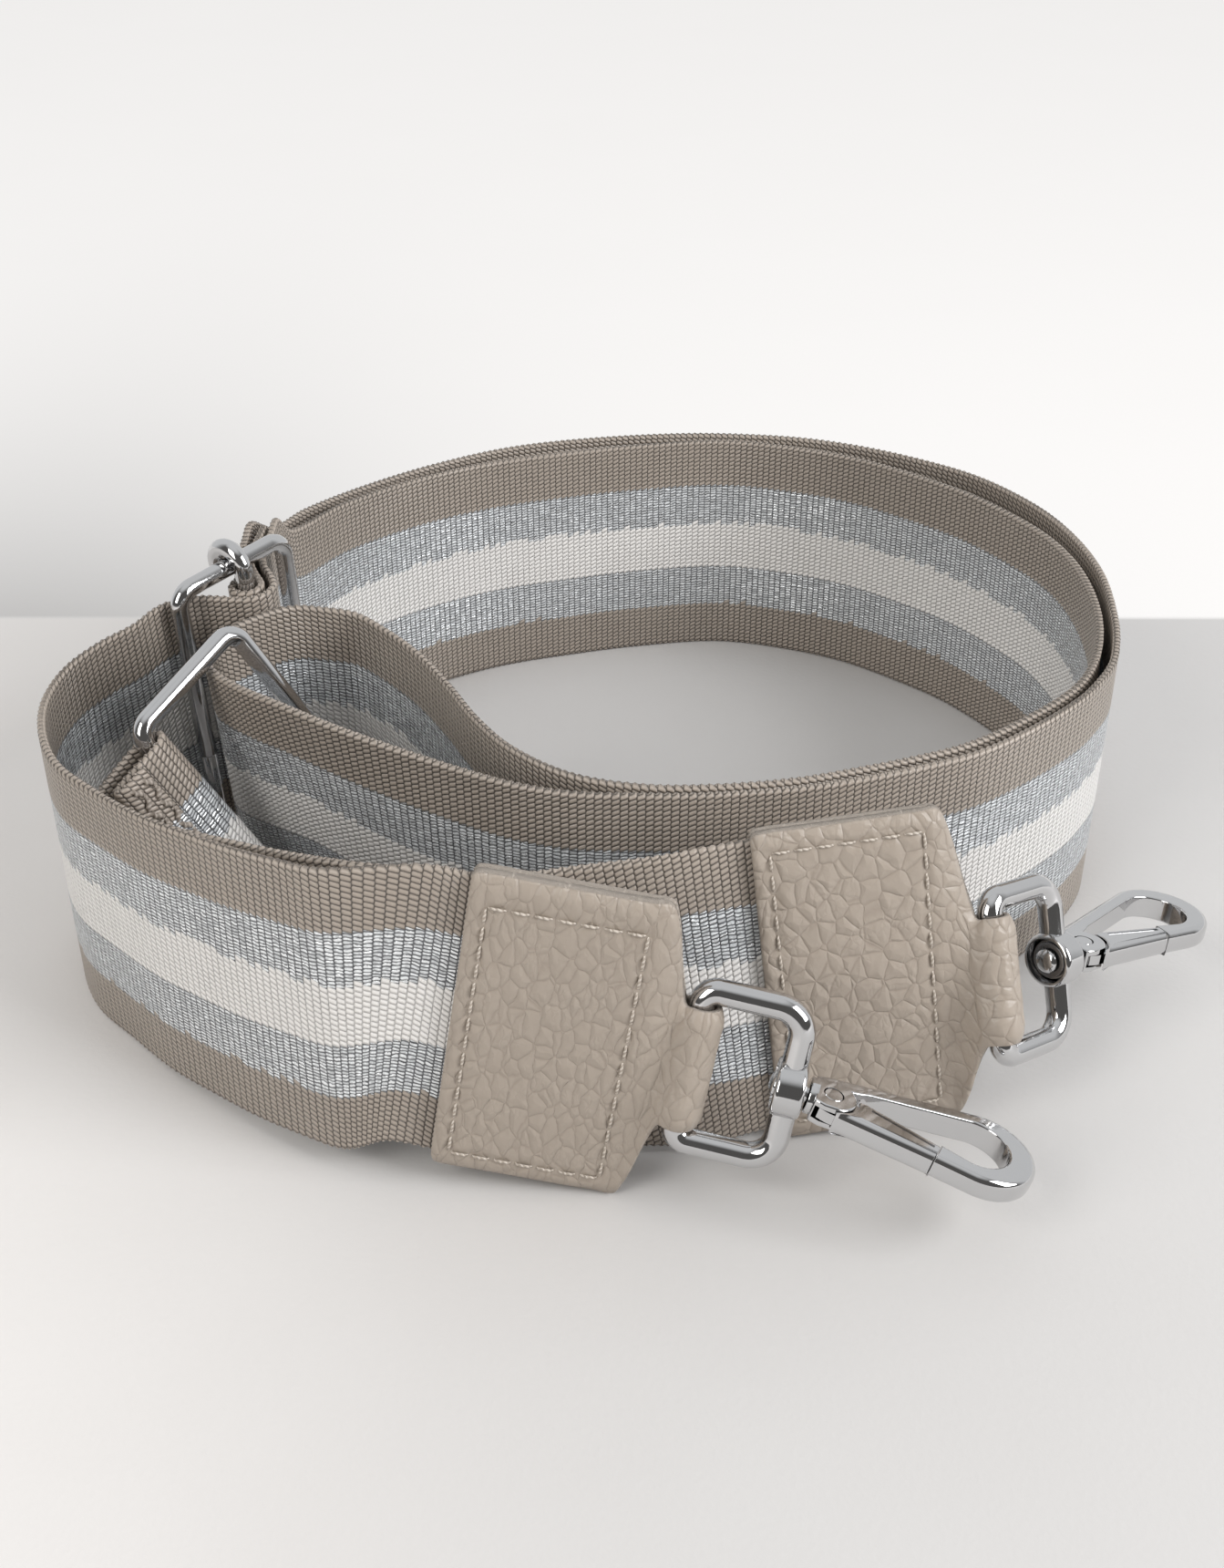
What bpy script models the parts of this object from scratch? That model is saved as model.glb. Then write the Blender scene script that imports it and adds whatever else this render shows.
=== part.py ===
import bpy
import bmesh
import math
from mathutils import Vector, Matrix

# Detachable bag strap, laid in a coil on its edge, as in the photograph.
# Units are metres, +Z is up, +Y points away from the photographer.

# driving dimensions

plan_grid = 0.010            # one square of the plan that the route tables are drawn on
route_shift_x = 0.0022       # moves the drawn plan so that the strap's box is centred
route_shift_y = -0.0004

web_width = 0.050            # striped webbing
web_thick = 0.0014
web_step = 0.0055            # longest piece of webbing between two sections
layer_gap = 0.0003           # air left between pieces that touch

tab_length = 0.0285          # stitched part of a leather tab, along the strap
tab_side_margin = 0.0012     # leather beyond each edge of the webbing
tab_width = web_width + 2 * tab_side_margin
leather_thick = 0.0015
web_in_tab = 0.0235          # webbing sewn between the two leathers

loop_wire_r = 0.0020         # eye that swivels the hook
loop_width = 0.0246          # between the centres of its two legs
neck_side_gap = 0.0004       # leather to each leg
neck_width = loop_width - 2 * (loop_wire_r + neck_side_gap)    # leather through the loop
loop_reach = 0.0151          # centre of the bar to the centre of the boss
loop_corner_r = 0.00225      # corners inside the leather, nearly square
loop_shoulder_r = 0.0042     # corners beside the boss
boss_r = 0.0044
boss_in = 0.0023             # boss, from its centre towards the leather
boss_out = 0.0022            # boss, from its centre towards the hook

shank_r = 0.0013
shank_play = 0.00045
swivel_bore_r = shank_r + shank_play
head_proud = 0.00075
shank_in = boss_in + head_proud    # end of the domed head, towards the leather
head_r = 0.0020
head_depth = 0.0009
washer_r = 0.0029
washer_thick = 0.00045
washer_gap = 0.00012
washer_side_gap = 0.0005
recess_r = washer_r + washer_side_gap
recess_depth = 0.0012

collar_r = 0.00275
collar_gap = 0.0005          # boss to the hook's collar
collar_length = 0.0013
collar_from = boss_out + collar_gap
collar_to = collar_from + collar_length
shank_grip = 0.0008          # end of the shank inside the hook
shank_out = collar_from + shank_grip
hook_reach = 0.0376          # centre of the boss to the tip of the nose
hook_thick = 0.0040
hook_base_step = 0.0009
hook_base_length = 0.0016
hook_base_from = collar_from + hook_base_step
hook_neck_at = hook_base_from + hook_base_length    # where the hook is narrowest
hook_neck_half = 0.0040
nose_r = 0.00805
nose_wall = 0.0042           # metal at the tip
spine_wall = 0.0028
gate_wall = 0.0028
seam_at = 0.0222             # joint between gate and nose
seam_gap = 0.00035
tongue_r = 0.0020
tongue_thick = 0.0017
tongue_half = 0.0014
tongue_side_gap = 0.0002
tongue_play = 0.0004
slot_thick = tongue_thick + 2 * tongue_side_gap
slot_wall = 0.0004           # metal between the shank and the slot
slot_from = shank_out + slot_wall
pivot_at = slot_from + tongue_r + tongue_play    # gate rivet
pivot_side = 0.0007
cheek_r = 0.0036
cheek_gap = 0.0004
gate_notch_r = cheek_r + cheek_gap
opening_wall = 0.0005
opening_from = pivot_at + cheek_r + opening_wall    # end of the hook's inside, towards the boss
rivet_r = 0.0009
rivet_head_r = 0.00145
rivet_head_thick = 0.0006
rivet_gap = 0.00012
spring_r = 0.00022
edge_round = 0.00065         # rounding of the polished castings

ring_wire_r = 0.0017         # square ring
ring_side_play = 0.0008      # webbing to each short side of the ring
ring_long = web_width + 2 * (ring_side_play + ring_wire_r)
ring_short = 0.0245
ring_corner_r = 0.0030

slider_wire_r = 0.00165      # wire frame of the slider
slider_side_play = 0.00085   # webbing to each short side of the slider
slider_long = web_width + 2 * (slider_side_play + slider_wire_r)
slider_short = 0.0250
slider_corner_r = 0.0032
slider_curl_gap = 0.00022    # air between the frame and the curled ends of the bar

fold_gap = 0.0003            # air between a sewn fold and the bar inside it

# angles

web_turn = math.radians(12)          # largest turn between two sections of the webbing
hook_taper = math.radians(9.5)       # each side of the hook runs out by this

# where the hardware lies, in squares of the plan
# x, y, z of a point, and hand-measured directions (pure numbers)

tab_a_centre_shares = (-0.94, -8.20, 2.83)
tab_a_across = (0.160, 0.058, 0.985)
tab_a_along = (0.984, -0.090, -0.155)
tab_b_centre_shares = (3.74, -6.69, 2.75)
tab_b_across = (-0.121, 0.171, 0.978)
tab_b_along = (0.989, 0.100, 0.105)

eye_a_shares = (1.12, -8.38, 2.41)
eye_a_across = (0.192, 0.232, 0.953)
eye_a_along = (0.973, -0.172, -0.154)
hook_a_normal = (0.294, 0.080, 0.952)
hook_a_along = (0.941, -0.199, -0.274)

eye_b_shares = (5.89, -6.74, 2.69)
eye_b_across = (-0.113, 0.444, 0.889)
eye_b_along = (0.752, 0.623, -0.216)
hook_b_normal = (0.130, 0.181, 0.975)
hook_b_along = (0.745, 0.634, -0.208)

ring_corner_shares = (-7.69, -3.44, 5.12)
ring_down = (0.480, 0.100, -0.870)
ring_side = (0.529, 0.749, 0.397)

slider_corner_shares = (-7.62, -0.04, 5.91)
slider_down = (0.028, 0.083, -0.996)
slider_side = (0.620, 0.785, 0.000)

# routes of the webbing, in squares of the plan
# each row: x, y of the top edge, x, y lean of the bottom edge, height of the bottom edge

leg_a_shares = [
    (-4.15, -7.60, 0.00, -0.40, 0.38), (-4.85, -7.27, 0.00, -0.34, 0.31),
    (-5.59, -6.86, 0.00, -0.27, 0.24), (-6.40, -6.32, 0.00, -0.18, 0.16),
    (-7.17, -5.78, 0.00, -0.10, 0.10), (-8.03, -5.00, 0.00, 0.00, 0.04),
    (-8.83, -4.15, 0.00, 0.00, 0.01), (-9.32, -3.15, 0.00, 0.00, 0.01),
    (-9.53, -2.10, 0.00, 0.00, 0.04), (-9.37, -1.22, 0.00, 0.06, 0.15),
    (-8.92, -0.68, 0.02, 0.20, 0.32), (-8.38, -0.28, 0.06, 0.34, 0.48)]

inner_back_shares = [
    (-6.29, 3.96, 0.02, 0.14, 0.36), (-5.47, 5.76, 0.00, 0.04, 0.14),
    (-4.05, 7.30, 0.00, 0.00, 0.04), (-2.60, 8.22, 0.00, 0.00, 0.01),
    (-1.10, 8.76, 0.00, 0.00, 0.01), (0.60, 9.22, 0.00, 0.00, 0.01),
    (2.55, 9.47, 0.00, 0.00, 0.01), (4.15, 9.05, 0.00, 0.00, 0.01),
    (5.35, 8.45, 0.00, 0.00, 0.01), (6.40, 7.60, 0.00, 0.00, 0.01),
    (7.35, 6.65, 0.00, 0.00, 0.01), (8.05, 5.62, 0.00, 0.00, 0.01),
    (8.62, 4.50, 0.00, 0.00, 0.01), (8.92, 3.30, 0.00, 0.00, 0.01),
    (8.98, 2.10, 0.00, 0.00, 0.01), (8.86, 0.80, 0.00, 0.00, 0.01),
    (8.50, -0.55, 0.00, 0.00, 0.01), (7.94, -1.62, 0.00, 0.00, 0.01),
    (6.84, -2.74, 0.00, 0.00, 0.01), (5.76, -3.56, 0.00, 0.00, 0.01),
    (4.80, -4.00, 0.00, 0.00, 0.01), (3.86, -4.34, 0.00, 0.00, 0.01),
    (2.92, -4.63, 0.00, 0.00, 0.01), (1.70, -4.82, 0.00, 0.00, 0.01),
    (0.55, -4.83, 0.00, 0.00, 0.01), (-0.62, -4.50, 0.00, 0.00, 0.01),
    (-1.62, -3.72, 0.00, 0.00, 0.04), (-2.24, -2.85, 0.00, 0.00, 0.08),
    (-2.80, -1.78, 0.00, 0.00, 0.14), (-3.37, -0.86, 0.00, 0.00, 0.22),
    (-4.05, -0.08, 0.00, 0.00, 0.30), (-4.62, 0.36, 0.00, 0.00, 0.38),
    (-5.16, 0.42, 0.00, 0.00, 0.44), (-5.60, 0.40, 0.00, 0.00, 0.49),
    (-5.96, 0.22, 0.04, -0.04, 0.52), (-6.32, -0.14, 0.06, -0.06, 0.54)]

turn_shares = [
    (-6.62, -0.50, 0.10, -0.04, 0.55), (-6.86, -0.90, 0.16, 0.00, 0.56),
    (-6.88, -1.44, 0.30, 0.12, 0.57), (-6.74, -1.96, 0.46, 0.32, 0.59)]

outer_shares = [
    (-6.44, -2.40, 0.58, 0.50, 0.64), (-6.02, -2.84, 0.66, 0.62, 0.70),
    (-5.44, -3.28, 0.64, 0.70, 0.72), (-4.50, -3.78, 0.42, 0.66, 0.56),
    (-3.49, -4.16, 0.20, 0.44, 0.34), (-2.53, -4.48, 0.08, 0.22, 0.16),
    (-1.58, -4.82, 0.00, 0.06, 0.06),
    (-0.66, -5.02, 0.00, 0.00, 0.01), (0.30, -5.08, 0.00, 0.00, 0.01),
    (1.20, -5.08, 0.00, 0.00, 0.01), (2.08, -5.00, 0.00, 0.00, 0.01),
    (3.00, -4.86, 0.00, 0.00, 0.01), (3.93, -4.60, 0.00, 0.00, 0.01),
    (4.90, -4.25, 0.00, 0.00, 0.01), (5.89, -3.80, 0.00, 0.00, 0.01),
    (6.98, -2.97, 0.00, 0.00, 0.01), (7.90, -2.07, 0.00, 0.00, 0.01),
    (8.26, -1.60, 0.00, 0.00, 0.01), (8.72, -0.82, 0.00, 0.00, 0.01),
    (8.98, -0.02, 0.00, 0.00, 0.01), (9.18, 0.98, 0.00, 0.00, 0.01),
    (9.34, 2.84, 0.00, 0.00, 0.01), (9.16, 4.47, 0.00, 0.00, 0.01),
    (8.71, 5.90, 0.00, 0.00, 0.01), (7.77, 7.43, 0.00, 0.00, 0.01),
    (6.67, 8.39, 0.00, 0.00, 0.01), (5.49, 9.12, 0.00, 0.00, 0.01),
    (4.25, 9.61, 0.00, 0.00, 0.01), (2.96, 9.83, 0.00, 0.00, 0.01),
    (1.66, 9.88, 0.00, 0.00, 0.01), (-0.44, 9.61, 0.00, 0.00, 0.01),
    (-2.24, 9.07, 0.00, 0.00, 0.01), (-3.81, 8.06, 0.00, 0.00, 0.03),
    (-5.17, 6.72, 0.00, 0.00, 0.10), (-6.18, 5.26, 0.00, 0.04, 0.22),
    (-6.62, 4.06, 0.02, 0.14, 0.36)]

# through the slider: along its short side and out from its face, in squares
slider_run_shares = [
    (-0.30, 0.33), (0.02, 0.30), (0.42, 0.06), (0.80, -0.52), (0.97, -0.75),
    (1.25, -0.84), (1.53, -0.75), (1.71, -0.52), (1.94, -0.06), (2.24, 0.30),
    (2.54, 0.50), (2.86, 0.72), (3.24, 1.00)]
slider_end_shares = [
    (2.86, 1.28), (2.42, 0.95), (2.00, 0.60), (1.56, 0.18), (1.30, -0.06)]
slider_tail_shares = [
    (1.62, -0.20), (1.80, 0.12), (2.12, 0.46), (2.54, 0.74), (2.96, 1.02)]

# short webbing from the ring to tab B: top edge x, y, z and bottom edge x, y, z
short_shares = [
    (-8.28, -4.42, 4.36, -5.86, -3.98, 0.08), (-7.86, -4.86, 4.32, -5.50, -4.55, 0.06),
    (-7.00, -5.22, 4.44, -4.95, -5.18, 0.06), (-6.00, -5.78, 4.60, -4.22, -5.80, 0.05),
    (-5.00, -6.28, 4.74, -3.40, -6.36, 0.05), (-4.00, -6.64, 4.84, -2.52, -6.88, 0.05),
    (-2.80, -6.93, 4.93, -1.42, -7.32, 0.05), (-1.47, -7.12, 4.99, -0.30, -7.58, 0.05),
    (-0.40, -6.93, 5.02, 0.60, -7.66, 0.05), (0.66, -6.72, 5.03, 1.48, -7.62, 0.06)]
short_wrap_tail_share = 0.95
short_wrap_lead_share = 0.62


def clear_scene():
    for ob in list(bpy.data.objects):
        bpy.data.objects.remove(ob, do_unlink=True)


def collection(name):
    col = bpy.data.collections.new(name)
    bpy.context.scene.collection.children.link(col)
    return col


def material(name, colour, metallic, rough):
    mat = bpy.data.materials.new(name)
    mat.use_nodes = True
    node = mat.node_tree.nodes["Principled BSDF"]
    node.inputs["Base Color"].default_value = (*colour, 1.0)
    node.inputs["Metallic"].default_value = metallic
    node.inputs["Roughness"].default_value = rough
    mat.diffuse_color = (*colour, 1.0)
    return mat


def place(shares):
    p = Vector(shares) * plan_grid
    return p - Vector((route_shift_x, route_shift_y, 0.0))


def unit(v):
    return Vector(v).normalized()


def mesh_object(name, verts, faces, mat, col):
    me = bpy.data.meshes.new(name)
    me.from_pydata([tuple(v) for v in verts], [], faces)
    bm = bmesh.new()
    bm.from_mesh(me)
    bmesh.ops.recalc_face_normals(bm, faces=bm.faces)
    bm.to_mesh(me)
    bm.free()
    me.materials.append(mat)
    ob = bpy.data.objects.new(name, me)
    col.objects.link(ob)
    return ob


def frame_matrix(origin, x_axis, z_axis):
    x = unit(x_axis)
    z = Vector(z_axis)
    z = (z - x * z.dot(x)).normalized()
    y = z.cross(x)
    m = Matrix((x, y, z)).transposed().to_4x4()
    m.translation = origin
    return m


def smooth_rows(rows):
    """Centripetal Catmull-Rom through rows of (top, bottom) points."""
    def mid(r):
        return (r[0] + r[1]) / 2

    def knot(a, b):
        return max((mid(b) - mid(a)).length, web_thick * 0.05) ** 0.5

    ends = [tuple(2 * a - b for a, b in zip(rows[0], rows[1]))]
    tail = [tuple(2 * a - b for a, b in zip(rows[-1], rows[-2]))]
    pts = ends + list(rows) + tail
    dense = [rows[0]]
    fine = 12
    for i in range(1, len(pts) - 2):
        p0, p1, p2, p3 = pts[i - 1:i + 3]
        t0 = 0.0
        t1 = t0 + knot(p0, p1)
        t2 = t1 + knot(p1, p2)
        t3 = t2 + knot(p2, p3)
        for k in range(1, fine + 1):
            t = t1 + (t2 - t1) * k / fine
            new = []
            for a, b, c, d in zip(p0, p1, p2, p3):
                ab = a * ((t1 - t) / (t1 - t0)) + b * ((t - t0) / (t1 - t0))
                bc = b * ((t2 - t) / (t2 - t1)) + c * ((t - t1) / (t2 - t1))
                cd = c * ((t3 - t) / (t3 - t2)) + d * ((t - t2) / (t3 - t2))
                abc = ab * ((t2 - t) / (t2 - t0)) + bc * ((t - t0) / (t2 - t0))
                bcd = bc * ((t3 - t) / (t3 - t1)) + cd * ((t - t1) / (t3 - t1))
                new.append(abc * ((t2 - t) / (t2 - t1)) + bcd * ((t - t1) / (t2 - t1)))
            dense.append(tuple(new))
    # keep a section wherever the strap has run one step or turned a little
    out = [dense[0]]
    run = turned = 0.0
    for a, b, c in zip(dense, dense[1:], dense[2:]):
        run += (mid(b) - mid(a)).length
        turned += (mid(c) - mid(b)).angle(mid(b) - mid(a), 0.0)
        if run >= web_step or turned > web_turn:
            out.append(b)
            run = turned = 0.0
    out.append(dense[-1])
    return out


def ribbon(name, rows, thick, mat, col, across=1):
    verts, faces = [], []
    for top, bottom in rows:
        for j in range(across + 1):
            verts.append(top.lerp(bottom, j / across))
    w = across + 1
    for i in range(len(rows) - 1):
        for j in range(across):
            a = i * w + j
            faces.append((a, a + 1, a + w + 1, a + w))
    me = bpy.data.meshes.new(name)
    me.from_pydata([tuple(v) for v in verts], [], faces)
    me.materials.append(mat)
    ob = bpy.data.objects.new(name, me)
    col.objects.link(ob)
    sol = ob.modifiers.new("thickness", "SOLIDIFY")
    sol.thickness = thick
    sol.offset = 0.0
    sol.use_even_offset = True
    sol.use_rim = True
    return ob


def upright_row(row):
    x, y, lean_x, lean_y, low = (v * plan_grid for v in row)
    lean = Vector((lean_x, lean_y, 0.0))
    rise = math.sqrt(max(web_width ** 2 - lean.length_squared, (web_width / 2) ** 2))
    base = Vector((x, y, 0.0)) - Vector((route_shift_x, route_shift_y, 0.0))
    return (base + Vector((0.0, 0.0, low + rise)), base + lean + Vector((0.0, 0.0, low)))


def round_rect(long_side, short_side, r_far, r_near, seg=5):
    """Closed outline in X and Y, centred, with rounded corners at its far and near X end."""
    pts = []
    for k, (sx, sy) in enumerate([(1, 1), (-1, 1), (-1, -1), (1, -1)]):
        r = r_far if sx > 0 else r_near
        hx, hy = long_side / 2 - r, short_side / 2 - r
        for j in range(seg + 1):
            a = math.pi / 2 * (k + j / seg)
            pts.append(Vector((sx * hx + r * math.cos(a), sy * hy + r * math.sin(a), 0.0)))
    return pts


def wire(name, points, radius, closed, matrix, mat, col, sides=12):
    """Round wire along a path, made from a bevelled curve and kept as a mesh."""
    cu = bpy.data.curves.new(name + "_path", "CURVE")
    cu.dimensions = "3D"
    cu.bevel_depth = radius
    cu.bevel_resolution = max(1, sides // 4 - 1)
    cu.use_fill_caps = not closed
    sp = cu.splines.new("POLY")
    sp.points.add(len(points) - 1)
    for p, q in zip(sp.points, points):
        p.co = (*q, 1.0)
    sp.use_cyclic_u = closed
    tmp = bpy.data.objects.new(name + "_path", cu)
    bpy.context.scene.collection.objects.link(tmp)
    return kept_mesh(tmp, name, matrix, mat, col, radius * 0.01)


def kept_mesh(tmp, name, matrix, mat, col, weld):
    """The shape that a curve or a modifier makes, welded, faces out."""
    dg = bpy.context.evaluated_depsgraph_get()
    me = bpy.data.meshes.new_from_object(tmp.evaluated_get(dg))
    bpy.data.objects.remove(tmp, do_unlink=True)
    bm = bmesh.new()
    bm.from_mesh(me)
    bmesh.ops.remove_doubles(bm, verts=bm.verts, dist=weld)
    bmesh.ops.recalc_face_normals(bm, faces=bm.faces)
    bm.to_mesh(me)
    bm.free()
    me.materials.clear()
    me.materials.append(mat)
    ob = bpy.data.objects.new(name, me)
    ob.matrix_world = matrix
    col.objects.link(ob)
    return ob


def revolve(name, profile, matrix, mat, col, steps=28):
    """Profile of (along, radius) turned about the local X axis with Screw."""
    me = bpy.data.meshes.new(name + "_profile")
    verts = [(x, 0.0, r) for x, r in profile]
    me.from_pydata(verts, [(i, i + 1) for i in range(len(verts) - 1)], [])
    tmp = bpy.data.objects.new(name + "_profile", me)
    bpy.context.scene.collection.objects.link(tmp)
    sc = tmp.modifiers.new("turn", "SCREW")
    sc.axis = "X"
    sc.steps = steps
    sc.render_steps = steps
    return kept_mesh(tmp, name, matrix, mat, col, rivet_r * 0.01)


def plate(name, outline, low, high, matrix, mat, col):
    """Flat outline in X and Y drawn up to a prism along Z."""
    n = len(outline)
    verts = [(x, y, low) for x, y in outline] + [(x, y, high) for x, y in outline]
    faces = [tuple(range(n))[::-1], tuple(range(n, 2 * n))]
    faces += [(i, (i + 1) % n, n + (i + 1) % n, n + i) for i in range(n)]
    ob = mesh_object(name, verts, faces, mat, col)
    ob.matrix_world = matrix
    return ob


def rounded(ob, width, segments=2, angle=35):
    bev = ob.modifiers.new("round", "BEVEL")
    bev.width = width
    bev.segments = segments
    bev.limit_method = "ANGLE"
    bev.angle_limit = math.radians(angle)
    bev.use_clamp_overlap = True


def combine(ob, other, kind):
    mod = ob.modifiers.new(kind.lower(), "BOOLEAN")
    mod.operation = kind
    mod.object = other
    mod.solver = "EXACT"


def arc(cx, cy, r, a0, a1, count):
    return [(cx + r * math.cos(a0 + (a1 - a0) * k / count),
             cy + r * math.sin(a0 + (a1 - a0) * k / count)) for k in range(count + 1)]


def cutter(ob, cut_col):
    for c in list(ob.users_collection):
        c.objects.unlink(ob)
    cut_col.objects.link(ob)
    ob.hide_render = True
    ob.display_type = "WIRE"
    return ob


def make_tab(name, centre, across, along, eye, eye_across, mat, col):
    """One leather piece folded round the eye's bar, with the webbing between its ends."""
    t = unit(along)
    w = Vector(across)
    w = (w - t * w.dot(t)).normalized()
    n = w.cross(t)
    wb = unit(eye_across)
    tb = (t - wb * t.dot(wb)).normalized()
    nb = wb.cross(tb)
    half = tab_length / 2
    sheet = web_thick / 2 + layer_gap + leather_thick / 2
    pinch = leather_thick / 2 + layer_gap / 2
    fold = loop_wire_r + fold_gap + leather_thick / 2
    reach = (eye - centre).dot(t)
    neck = reach - half
    wide, slim = tab_width / 2, neck_width / 2
    side = []
    # along the strap, half width, distance from the middle of the stack, share of the turn
    for x, hw, h, turn in [
            (-half, wide * 0.965, sheet, 0.0), (-half * 0.97, wide * 0.99, sheet, 0.0),
            (-half * 0.90, wide, sheet, 0.0), (-half * 0.3, wide, sheet, 0.0),
            (half * 0.45, wide, sheet, 0.0), (half * 0.80, wide, sheet * 0.93, 0.0),
            (half * 0.96, wide, sheet * 0.82, 0.06),
            (half + neck * 0.05, wide * 0.965, sheet * 0.78, 0.14),
            (half + neck * 0.26, slim + (wide - slim) * 0.66, sheet * 0.70, 0.36),
            (half + neck * 0.40, slim + (wide - slim) * 0.36, sheet * 0.68, 0.60),
            (half + neck * 0.50, slim + (wide - slim) * 0.15, sheet * 0.78, 0.80),
            (half + neck * 0.59, slim * 1.02, sheet * 1.02, 1.0)]:
        side.append((x, hw, max(h, pinch), turn))

    def point(x, h, turn, sign):
        flat = centre + t * x + n * (sign * h)
        bent = eye + tb * (x - reach) + nb * (sign * h)
        return flat.lerp(bent, turn), w.lerp(wb, turn).normalized()

    rows = []
    for x, hw, h, turn in side:
        p, a = point(x, h, turn, -1)
        rows.append((p + a * hw, p - a * hw))
    for k in range(9):
        ang = math.radians(-118 + 236 * k / 8)
        p = eye + tb * (math.cos(ang) * fold) + nb * (math.sin(ang) * fold)
        rows.append((p + wb * slim, p - wb * slim))
    for x, hw, h, turn in reversed(side):
        p, a = point(x, h, turn, 1)
        rows.append((p + a * hw, p - a * hw))
    return ribbon(name, rows, leather_thick, mat, col, across=2)


def make_eye(name, eye, across, along, mat, col, cut_col):
    """Wire eye with a boss that the hook's stud turns in."""
    m = frame_matrix(eye, along, across)
    turned = m @ Matrix.Rotation(math.radians(90), 4, "X")
    pts = [p + Vector((loop_reach / 2, 0.0, 0.0))
           for p in round_rect(loop_reach, loop_width, loop_shoulder_r, loop_corner_r)]
    ob = wire(name, pts, loop_wire_r, True, turned, mat, col)
    boss_m = m @ Matrix.Translation((loop_reach, 0.0, 0.0))
    slope = (boss_r - loop_wire_r) * 0.30
    boss = revolve(name + "_boss", [
        (-boss_in, 0.0), (-boss_in, boss_r - slope), (-boss_in + slope, boss_r),
        (boss_out - slope, boss_r), (boss_out, boss_r - slope), (boss_out, 0.0)],
        boss_m, mat, col)
    cutter(boss, cut_col)
    combine(ob, boss, "UNION")
    over = loop_wire_r
    hole = revolve(name + "_recess", [
        (-boss_in - over, 0.0), (-boss_in - over, recess_r * 1.10), (-boss_in, recess_r * 1.06),
        (-boss_in + recess_depth, recess_r * 0.92), (-boss_in + recess_depth, swivel_bore_r),
        (boss_out + over, swivel_bore_r), (boss_out + over, 0.0)],
        boss_m, mat, col)
    cutter(hole, cut_col)
    combine(ob, hole, "DIFFERENCE")
    return ob


def make_stud(name, m, mat, col):
    neck = -boss_in + recess_depth - washer_thick - 3 * washer_gap
    top = -shank_in
    return revolve(name, [
        (top, 0.0), (top + head_depth * 0.06, head_r * 0.42), (top + head_depth * 0.25, head_r * 0.74),
        (top + head_depth * 0.55, head_r * 0.94), (neck - washer_gap * 2, head_r),
        (neck - washer_gap * 2, shank_r), (shank_out, shank_r), (shank_out, 0.0)], m, mat, col, 20)


def make_washer(name, m, mat, col):
    x0 = -boss_in + recess_depth - washer_gap
    x1 = x0 - washer_thick
    r0 = swivel_bore_r
    return revolve(name, [(x1, r0), (x1, washer_r), (x0, washer_r), (x0, r0), (x1, r0)],
                   m, mat, col, 20)


def outer_half(x):
    return hook_neck_half + (x - hook_neck_at) * math.tan(hook_taper)


def hook_outline():
    """C-shaped outline of the hook, open where the gate closes it, gate on the -Y side."""
    nose_x = hook_reach - nose_r
    inner_r = (2 * nose_r - spine_wall * 2.1) / 2
    inner_x = hook_reach - nose_wall - inner_r
    c, s = math.cos(hook_taper), math.sin(hook_taper)
    seam = (seam_at, -outer_half(seam_at))
    pts = [seam]
    a = math.pi / 2 + hook_taper
    pts += arc(nose_x, 0.0, nose_r, -a, a, 18)
    pts += [(hook_neck_at, hook_neck_half), (hook_base_from, hook_neck_half * 0.86)]
    pts += [(hook_base_from, -hook_neck_half * 0.86)]
    # cheeks end on a circle about the gate's rivet
    low = math.asin(min(0.99, (hook_neck_half - pivot_side) / cheek_r))
    pts += [(hook_neck_at, -hook_neck_half)]
    pts += arc(pivot_at, -pivot_side, cheek_r, -low, math.radians(38), 8)
    inside = opening_from
    pts += [(inside, outer_half(inside) - spine_wall * 1.12),
            (inside + spine_wall * 0.5, outer_half(inside + spine_wall * 0.5) - spine_wall)]
    pts += arc(inner_x, 0.0, inner_r, a, -a, 16)
    pts += [(seam_at + s * nose_wall * 0.8, -outer_half(seam_at) + c * nose_wall * 0.8)]
    return pts


def make_hook(name, m, mat, col, cut_col):
    half = hook_thick / 2
    ob = plate(name, hook_outline(), -half, half, m, mat, col)
    rounded(ob, edge_round)
    collar = revolve(name + "_collar", [
        (collar_from, 0.0), (collar_from, collar_r - edge_round * 0.5),
        (collar_from + edge_round * 0.5, collar_r), (collar_to, collar_r), (collar_to, 0.0)],
        m, mat, col, 24)
    combine(ob, cutter(collar, cut_col), "UNION")
    reach = tongue_r + layer_gap
    slot = plate(name + "_slot", [
        (slot_from, -hook_neck_half * 1.6), (slot_from, reach - pivot_side),
        (slot_from + reach * 0.5, reach - pivot_side + spring_r * 3),
        (opening_from * 1.02, reach - pivot_side + spring_r * 3),
        (opening_from * 1.02, -hook_neck_half * 1.6)],
        -slot_thick / 2, slot_thick / 2, m, mat, col)
    combine(ob, cutter(slot, cut_col), "DIFFERENCE")
    bore = revolve(name + "_stud_bore", [
        (collar_from * 0.5, 0.0), (collar_from * 0.5, shank_r + rivet_gap),
        (shank_out + rivet_gap, shank_r + rivet_gap), (shank_out + rivet_gap, 0.0)],
        m, mat, col, 20)
    combine(ob, cutter(bore, cut_col), "DIFFERENCE")
    pin = rivet_solid(name + "_rivet_bore", m, rivet_gap, mat, col)
    combine(ob, cutter(pin, cut_col), "DIFFERENCE")
    return ob


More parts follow.
